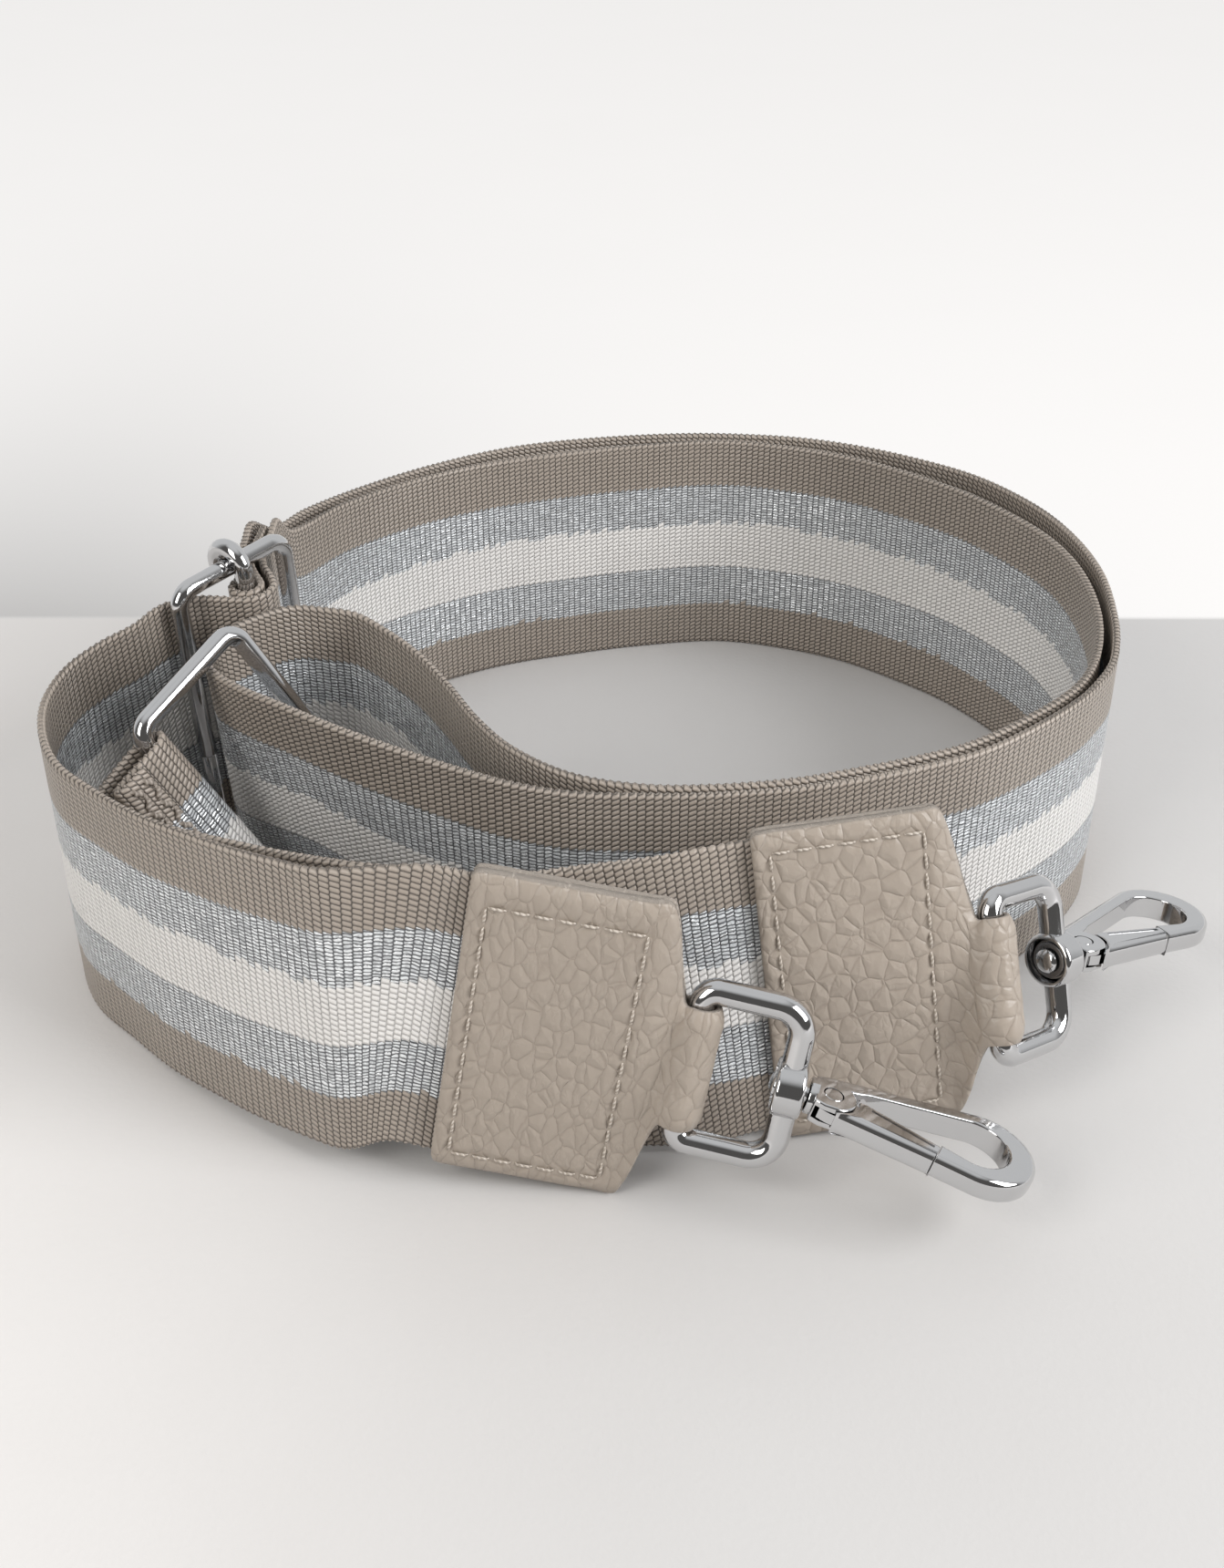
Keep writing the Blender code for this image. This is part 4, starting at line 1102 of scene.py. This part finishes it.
def make_channels(name, root, tip, m, mat):
    """Cutters for the channels on both faces, beside the gate's inner edge."""
    along = (tip - root).normalized()
    beside = Vector((along.y, -along.x))
    rail = beside * (edge_crisp * 1.7)
    a = root + along * (gate_wall * 0.45) + rail
    b = tip - along * (edge_crisp * 2) + rail
    outline = [tuple(p) for p in (a, b, b + beside * rail_wide, a + beside * rail_wide)]
    made = []
    for sign in (1, -1):
        ends = sorted(sign * (hook_thick / 2 + more) for more in (-rail_deep, rail_deep))
        made.append(plate(name + "_channel", outline, None, *ends, m, mat))
    return made


def make_gate(side, m, mat, dark):
    """Gate with a shallow channel along both faces, its tongue round the rivet."""
    half = hook_thick / 2
    name = "snap_gate_" + side
    end = seam_at - seam_gap
    reach = outer_half(pivot_at + gate_notch_r * 0.7) - pivot_side
    low = math.asin(min(0.99, reach / gate_notch_r))
    notch = arc(pivot_at, -pivot_side, gate_notch_r, math.radians(8), -low, 12)
    low_end = -outer_half(end)
    outline = seam_curve(0.0, low_end, low_end + gate_wall, 5)
    tip = Vector(outline[-1])
    root = (notch[0][0] + gate_wall * 0.35, notch[0][1])
    outline += [root] + notch
    widths = [edge_seam] * 4 + [edge_crisp] * 2 + [edge_seam * 2] * (len(notch) - 1) + [edge_soft]
    ob = plate(name + "_plate", outline, widths, -half, half, m, mat)
    cutters = [combine(ob, make_tongue(name, m, mat), "UNION"),
               combine(ob, pin(name + "_bore", m, rivet_gap, mat), "DIFFERENCE")]
    for channel in make_channels(name, Vector(root), tip, m, mat):
        cutters.append(combine(ob, channel, "DIFFERENCE"))
    darken_seam(cast(ob, cutters, name, mat, "hook_%s_gate" % side, "gate_" + side), m, dark)


def make_spring(side, m, mat):
    y = tongue_r + layer_gap - pivot_side + spring_r * 1.2
    pts = [Vector((slot_from + tongue_r * 0.9, y, 0.0)), Vector((pivot_at + tongue_r, y, 0.0)),
           Vector((opening_from * 0.97, y, 0.0))]
    ob = wire("gate_spring_" + side, pts, spring_r, False, m, mat)
    return hold(ob, "hook_%s_spring" % side, "hook_" + side)


def rect_wire(name, axes, long_side, short_side, corner, radius, mat, node, body, seam_share=None):
    """Wire rectangle whose corner lies at the frame's origin: X long side, Y short side."""
    pts = [p + Vector((long_side / 2, short_side / 2, 0.0))
           for p in round_rect(long_side, short_side, corner, corner)]
    seam = None
    if seam_share is not None:
        # a fine groove in the side nearest the camera
        at = Vector((long_side * seam_share, 0.0, 0.0))
        fine = Vector((radius * 0.07, 0.0, 0.0))
        k = 3 * (len(pts) // 4)
        pts[k:k] = [at - fine, at, at + fine]
        seam = k + 1
    return hold(wire(name, pts, radius, True, placed(*axes), mat, seam), node, body)


def make_slider(mat, cut):
    axes = loop_axes(slider_corner_shares, slider_down, slider_side)
    rect_wire("slider_loop", axes, slider_long, slider_short, slider_corner_r,
              slider_wire_r, mat, "slider_frame", "strap", slider_seam_share)
    m = placed(*axes)
    facing = 1.0 if axes[3].x < 0 else -1.0
    top_pts, low_pts = [], []
    for k in range(curl_steps + 1):
        a = math.radians(curl_from + curl_round * k / curl_steps)
        px = -slider_curl * math.sin(a)
        pz = facing * slider_curl * math.cos(a)
        top_pts.append(Vector((px, slider_short / 2, pz)))
        low_pts.append(Vector((slider_long - px, slider_short / 2, pz)))
    ob = wire("slider_bar_wire", top_pts + low_pts[::-1], slider_wire_r, False, m, mat)
    # the two cut ends are duller
    ob.data.materials.append(cut)
    ends = [m @ top_pts[0], m @ low_pts[0]]
    for face in ob.data.polygons:
        if min((face.center - e).length for e in ends) < slider_wire_r * 0.2:
            face.material_index = 1
    hold(ob, "slider_bar", "strap")
    ob.data.set_sharp_from_angle(angle=math.radians(sharp_cut))


def flap_rows(neck):
    """One flap, from its straight end to the fold. Each row has its place along the strap, half
    width, distance from the middle of the stack and share of the turn towards the eye."""
    half = tab_length / 2
    wide, slim = tab_width / 2, neck_width / 2
    sheet = web_thick / 2 + layer_gap + leather_thick / 2
    pinch = leather_thick / 2 + layer_gap / 2
    rows = [
        (-half, wide * 0.965, sheet, 0.0), (-half * 0.97, wide * 0.99, sheet, 0.0),
        (-half * 0.90, wide, sheet, 0.0), (-half * 0.3, wide, sheet, 0.0),
        (half * 0.45, wide, sheet, 0.0), (half * 0.80, wide, sheet * 0.93, 0.0),
        (half * 0.96, wide, sheet * 0.82, 0.06),
        (half + neck * 0.05, wide * 0.965, sheet * 0.78, 0.14),
        (half + neck * 0.26, slim + (wide - slim) * 0.66, sheet * 0.70, 0.36),
        (half + neck * 0.40, slim + (wide - slim) * 0.36, sheet * 0.68, 0.60),
        (half + neck * 0.50, slim + (wide - slim) * 0.15, sheet * 0.78, 0.80),
        (half + neck * 0.59, slim * 1.02, sheet * 1.02, 1.0)]
    return [(x, half_width, max(h, pinch), turn) for x, half_width, h, turn in rows]


def tab_rows(centre, across, along, eye, eye_across):
    """Rows of the folded leather, as in the part: front flap, fold round the bar, back flap."""
    t = unit(along)
    w = square_to(across, t)
    n = w.cross(t)
    wb = unit(eye_across)
    tb = square_to(t, wb)
    nb = wb.cross(tb)
    fold = loop_wire_r + fold_gap + leather_thick / 2
    reach = (eye - centre).dot(t)
    flap = flap_rows(reach - tab_length / 2)

    def row(x, half_width, h, turn):
        flat = centre + t * x + n * h
        bent = eye + tb * (x - reach) + nb * h
        p = flat.lerp(bent, turn)
        a = w.lerp(wb, turn).normalized()
        return (p + a * half_width, p - a * half_width)

    rows = [row(x, half_width, -h, turn) for x, half_width, h, turn in flap]
    for k in range(9):
        a = math.radians(-fold_turn + 2 * fold_turn * k / 8)
        p = eye + tb * (math.cos(a) * fold) + nb * (math.sin(a) * fold)
        rows.append((p + wb * (neck_width / 2), p - wb * (neck_width / 2)))
    return rows + [row(*r) for r in reversed(flap)]


def cell_edge(a, s, wide, long, seed):
    """Distance to the nearest border of an irregular cell, in shares of a cell."""
    warp = noise.noise(Vector((a / wide * 0.9, s / long * 0.9, seed))) * 0.45
    near, _ = noise.voronoi(Vector((a / wide + warp, s / long - warp, seed)))
    return near[1] - near[0]


def pebble(a, s, wide, long, seed):
    """Height of the leather's grain at a place, 0 in a crease and 1 on a crown."""
    edge = cell_edge(a, s, wide, long, seed)
    main = math.sin(math.pi / 2 * min(1.0, edge / 0.8))
    swell = noise.noise(Vector((a / wide * 0.6, s / long * 0.6, seed + 9.0)))
    return max(0.0, min(1.0, main * (0.78 + 0.3 * swell)))


def stitch_lines(side, length):
    """The stitched box on each flap: pairs of corners as (across, along) on the leather."""
    top = -tab_width / 2 + stitch_inset_top[side]
    low = tab_width / 2 - stitch_inset_low
    boxes = []
    for a, b in ((stitch_inset_far, tab_length - stitch_inset_far),
                 (length - stitch_inset_far, length - tab_length + stitch_inset_far)):
        corners = [(top, a), (top, b), (low, b), (low, a)]
        boxes.append(list(zip(corners, corners[1:] + corners[:1])))
    return boxes


def groove(a, s, boxes):
    """How far the leather is drawn in beside the stitches."""
    best = 1.0
    for box in boxes:
        for (a0, s0), (a1, s1) in box:
            run = math.hypot(a1 - a0, s1 - s0)
            t = max(0.0, min(1.0, ((a - a0) * (a1 - a0) + (s - s0) * (s1 - s0)) / run ** 2))
            gap = math.hypot(a - a0 - t * (a1 - a0), s - s0 - t * (s1 - s0))
            best = min(best, gap)
    return stitch_groove * math.exp(-(best / 0.0008) ** 2)


def outer_drop(a, s, width, length, lift, thin, boxes):
    """How far the grain side lies below full thickness: grain, stitches, rim and ends."""
    rim = min(width / 2 - abs(a), rim_wide) / rim_wide
    ends = min(s, length - s, leather_cell * 3) / (leather_cell * 3)
    drop = (1 - lift) * pebble_depth * min(1.0, 0.3 + rim) + groove(a, s, boxes)
    edge = thin * (1 - rim) ** 2 + leather_thick / 2 * 0.4 * (1 - ends) ** 2
    return drop + edge


def inner_rise(a, s, length):
    """How far the flesh side closes the gap to the other flap, past the webbing's edges."""
    on_flap = max(0.0, min(1.0, (tab_length - min(s, length - s)) / rim_wide))
    beyond = on_flap * (abs(a) - web_width / 2) / tab_side_margin
    closing = web_thick / 2 + layer_gap
    return closing * 0.97 * max(0.0, min(1.0, beyond * 2.5)) ** 0.5


def leather_faces(rows, count):
    """Both sides of the leather and the cut edge between them, with each face's material."""
    n = count + 1
    total = rows * n
    last = total - n
    faces, face_mats = [], []
    for i in range(rows - 1):
        for j in range(count):
            a, b = i * n + j, (i + 1) * n + j
            faces.append((a, a + 1, b + 1, b))
            faces.append((a + total, b + total, b + 1 + total, a + 1 + total))
            face_mats += [0, 1]
    border = [(i * n + j, (i + 1) * n + j) for j in (0, count) for i in range(rows - 1)]
    border += [(i + j, i + j + 1) for i in (0, last) for j in range(count)]
    for a, b in border:
        faces.append((a, b, b + total, a + total))
        face_mats.append(1)
    return faces, face_mats


def leather_tab(side, rows, mats, thread, seed):
    name = "leather_tab_" + side
    even, length = even_rows(rows, leather_cell)
    frames = section_frames(even)
    boxes = stitch_lines(side, length)
    count = round(tab_width / leather_cell)
    half = leather_thick / 2
    # the grain side looks away from the middle of the stack
    stack = (frames[0][0] + frames[-1][0]) / 2
    grain = 1.0 if frames[0][2].dot(frames[0][0] - stack) > 0 else -1.0
    verts, values, under, under_values = [], [], [], []
    for i, (mid, across, out, width) in enumerate(frames):
        s = length * i / (len(frames) - 1)
        in_sight = (out * grain).y < 0 or min(s, length - s) > tab_length
        thin = rim_front if in_sight else rim_back
        for j in range(count + 1):
            a = (j / count - 0.5) * width
            lift = pebble(a, s, *pebble_sizes[side], seed)
            drop = outer_drop(a, s, width, length, lift, thin, boxes)
            verts.append(mid + across * a + out * (grain * (half - drop)))
            values.append((a, s, lift))
            under.append(mid + across * a - out * (grain * (half + inner_rise(a, s, length))))
            under_values.append((a, s, 0.0))
    faces, face_mats = leather_faces(len(frames), count)
    ob = new_mesh(name, verts + under, faces, mats, values + under_values, face_mats)
    hold(ob, "tab_%s_leather" % side, "strap")
    seams = [box_line for box in boxes for box_line in box]
    stitches = stitch_row(name + "_stitches", seams, on_face(frames, length, grain, half), thread)
    stitches.parent = ob
    sum(width for *_, width in frames) * length / len(frames)


def thread_tube(path, thick, length, verts, values, faces):
    """A short thread along a path, thin at both ends, added to the lists of a mesh."""
    rings, sides = len(path), thread_sides
    run_dir = (path[-1] - path[0]).normalized()
    up = path[rings // 2] - (path[0] + path[-1]) / 2
    up = (up - run_dir * up.dot(run_dir)).normalized()
    wide = run_dir.cross(up)
    base = len(verts)
    for r, p in enumerate(path):
        size = thick * (0.45 + 0.55 * math.sin(math.pi * (r + 0.6) / (rings + 0.2)))
        for q in range(sides):
            ang = 2 * math.pi * q / sides
            verts.append(p + wide * (math.cos(ang) * size * 1.15) + up * (math.sin(ang) * size))
            values.append((ang, r * length / rings, 0.0))
    for r in range(rings - 1):
        for q in range(sides):
            a, b = base + r * sides + q, base + r * sides + (q + 1) % sides
            faces.append((a, b, b + sides, a + sides))
    faces.append(tuple(base + q for q in range(sides))[::-1])
    faces.append(tuple(base + (rings - 1) * sides + q for q in range(sides)))


def stitch_row(name, seams, at, mat, thick=stitch_r, reach_of=stitch_length):
    """Short threads along seams given as pairs of (across, along), laid on a surface."""
    verts, values, faces = [], [], []
    sunk = stitch_groove if thick == stitch_r else thick * 0.2
    for (a0, s0), (a1, s1) in seams:
        run = math.hypot(a1 - a0, s1 - s0)
        count = max(1, round(run / stitch_pitch))
        reach = reach_of / run / 2
        for k in range(count):
            path = []
            for r in range(thread_rings):
                f = (k + 0.5) / count + reach * (2 * r / (thread_rings - 1) - 1)
                rise = math.sin(math.pi * r / (thread_rings - 1))
                height = thick * (1.5 * rise ** 0.35 - 0.6) - sunk
                path.append(at(a0 + (a1 - a0) * f, s0 + (s1 - s0) * f, height))
            thread_tube(path, thick, reach_of, verts, values, faces)
    return new_mesh(name, verts, faces, [mat], values)


def sew_end(name, at, lines, mat):
    """Zigzag seams across the webbing, one round each line: the short one's hem, the long
    one's fold."""
    half = web_width / 2 - selvedge
    count = round(2 * half / hem_zigzag)
    seams = []
    for line in lines:
        low, high = line - hem_zigzag * 0.35, line + hem_zigzag * 0.35
        for k in range(count):
            a = -half + 2 * half * k / count
            b = -half + 2 * half * (k + 1) / count
            seams.append(((a, low), (b, high)) if k % 2 else ((a, high), (b, low)))
    return stitch_row(name + "_seam", seams, at, mat, hem_thread_r, hem_zigzag * 1.15)


def wall_glow(n, x, y):
    """Colour of the wall as seen, with a painted shadow that dims it low down on the left."""
    side = n.math("DIVIDE", n.plus(x, painted_shadow_x), painted_shadow_wide)
    up = n.math("DIVIDE", n.minus(y, wall_line), painted_shadow_deep)
    falls = n.plus(n.math("POWER", side, 2.0), n.math("ABSOLUTE", up))
    # painted shadow of the strap on the wall, darkest low down on the left
    painted_shadow = n.times(n.math("EXPONENT", n.times(falls, -1.0)), painted_shadow_most)
    return n.add("ShaderNodeEmission", {"Color": n.mix(painted_shadow, wall_tone, black), "Strength": 1.0})


def floor_material():
    mat, n = new_material("pale_cloth")
    where = n.add("ShaderNodeNewGeometry").outputs["Position"]
    x, y, _ = n.split(where)
    far = n.ramp(y, wall_line - wall_soft, wall_line + wall_soft)
    soft = n.noise(where, cloth_tone, 3.0)
    # painted shade: the cloth is darker on the right
    lit = n.mix(soft, *cloth_lit)
    dull = n.mix(soft, *cloth_painted_shade)
    table = n.mix(n.ramp(x, *cloth_shade_span), lit, dull)
    wall = n.mix(soft, *wall_colours)
    n.look("Base Color", n.mix(far, table, wall))
    n.look("Roughness", 0.9)
    n.look("Specular IOR Level", 0.1)
    n.bump(0.12, 0.0004, n.noise(where, cloth_weave, 2.0))
    ray = n.add("ShaderNodeLightPath").outputs
    seen = n.math("MAXIMUM", ray["Is Camera Ray"], ray["Is Glossy Ray"])
    share = n.times(n.times(far, seen), wall_glow_share)
    both = n.add("ShaderNodeMixShader", {0: share, 1: n.shader.outputs[0],
                                         2: wall_glow(n, x, y).outputs[0]})
    n.put(n.tree.nodes["Material Output"].inputs["Surface"], both.outputs[0])
    return mat


def make_floor():
    near, far = -floor_half, floor_half
    verts = [(near, near, 0.0), (far, near, 0.0), (far, far, 0.0), (near, far, 0.0)]
    floor = new_mesh("floor", verts, [(0, 1, 2, 3)], [floor_material()], smooth=False)


def make_camera():
    cam = bpy.data.cameras.new("camera")
    cam.sensor_fit = "VERTICAL"
    cam.sensor_height = film_height
    cam.lens = focal_share * film_height
    cam.clip_start = 0.01
    ob = linked("camera", cam)
    ob.location = (-route_shift_x, -camera_back, camera_height)
    ob.rotation_euler = (math.radians(camera_tilt), 0.0, 0.0)
    bpy.context.scene.camera = ob


def make_lamp(name, stands, size, power, colour):
    lamp = bpy.data.lights.new(name, "AREA")
    lamp.shape = "RECTANGLE"
    lamp.size, lamp.size_y = size
    lamp.energy = power
    lamp.color = colour
    ob = linked(name, lamp)
    ob.location = stands
    aim = Vector(lamp_aim) - Vector(stands)
    ob.rotation_euler = aim.to_track_quat("-Z", "Y").to_euler()


def make_world():
    """Bright overhead and behind the object, darker low down on the camera's side."""
    world = bpy.data.worlds.new("room")
    bpy.context.scene.world = world
    n = Nodes(world, "Background")
    _, y, z = n.split(n.add("ShaderNodeTexCoord").outputs["Generated"])
    most = n.math("MAXIMUM", n.ramp(z, 0.68, 0.98), n.ramp(y, -0.25, 0.30))
    n.look("Color", n.mix(most, world_dark, world_bright))
    n.look("Strength", 0.75)


def make_webbings(striped, coarse):
    for name, rows, node, rest, lines in (
            ("long_strap", long_rows(), "long_webbing", ["slider_bar", "floor"], long_seams),
            ("short_strap", short_rows(), "short_webbing", ["square_ring", "floor"], short_seams)):
        ob, length, at = webbing(name, rows, striped)
        hold(ob, node, "strap")
        sewn = sew_end(name, at, [s if s > 0 else length + s for s in lines], coarse)
        sewn.parent = ob
        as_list(rest)


def main():
    striped = webbing_material()
    cut = edge_material()
    thread = thread_material("sewing_thread", *sewing_thread)
    coarse = thread_material("seam_thread", *seam_thread)
    chrome = metal_material("bright_chrome", *bright_chrome)
    steel = metal_material("spring_steel", *spring_steel)
    dull = metal_material("dull_joint", *dull_joint)

    make_webbings(striped, coarse)
    for side, seed, centre, across, along, eye, eye_across in (
            ("a", 3.0, tab_a_centre_shares, tab_a_across, tab_a_along, eye_a_shares, eye_a_across),
            ("b", 7.0, tab_b_centre_shares, tab_b_across, tab_b_along, eye_b_shares, eye_b_across)):
        rows = tab_rows(place(centre), across, along, place(eye), eye_across)
        leather_tab(side, rows, [leather_material(side), cut], thread, seed)

    make_slider(chrome, steel)
    rect_wire("ring_wire", loop_axes(ring_corner_shares, ring_down, ring_side), ring_long,
              ring_short, ring_corner_r, ring_wire_r, chrome, "square_ring", "ring")
    for side, eye, across, along, normal, hook_along in (
            ("a", eye_a_shares, eye_a_across, eye_a_along, hook_a_normal, hook_a_along),
            ("b", eye_b_shares, eye_b_across, eye_b_along, hook_b_normal, hook_b_along)):
        make_eye(side, place(eye), across, along, chrome)
        boss = place(eye) + unit(along) * loop_reach
        hook_m = frame_matrix(boss, hook_along, normal)
        make_washer(side, frame_matrix(boss, along, across), steel)
        make_stud(side, hook_m, chrome)
        make_hook(side, hook_m, chrome, dull)
        make_gate(side, hook_m, chrome, dull)
        make_spring(side, hook_m, steel)

    make_floor()
    make_camera()
    make_world()
    make_lamp("window", (0.78, -0.36, 0.52), (0.5, 0.6), 8.5, (0.985, 0.99, 1.0))
    make_lamp("fill", (-0.52, -0.58, 0.52), (0.4, 0.6), 3.9, (1.0, 0.98, 0.95))
    bpy.context.scene.view_settings.view_transform = "Standard"


main()
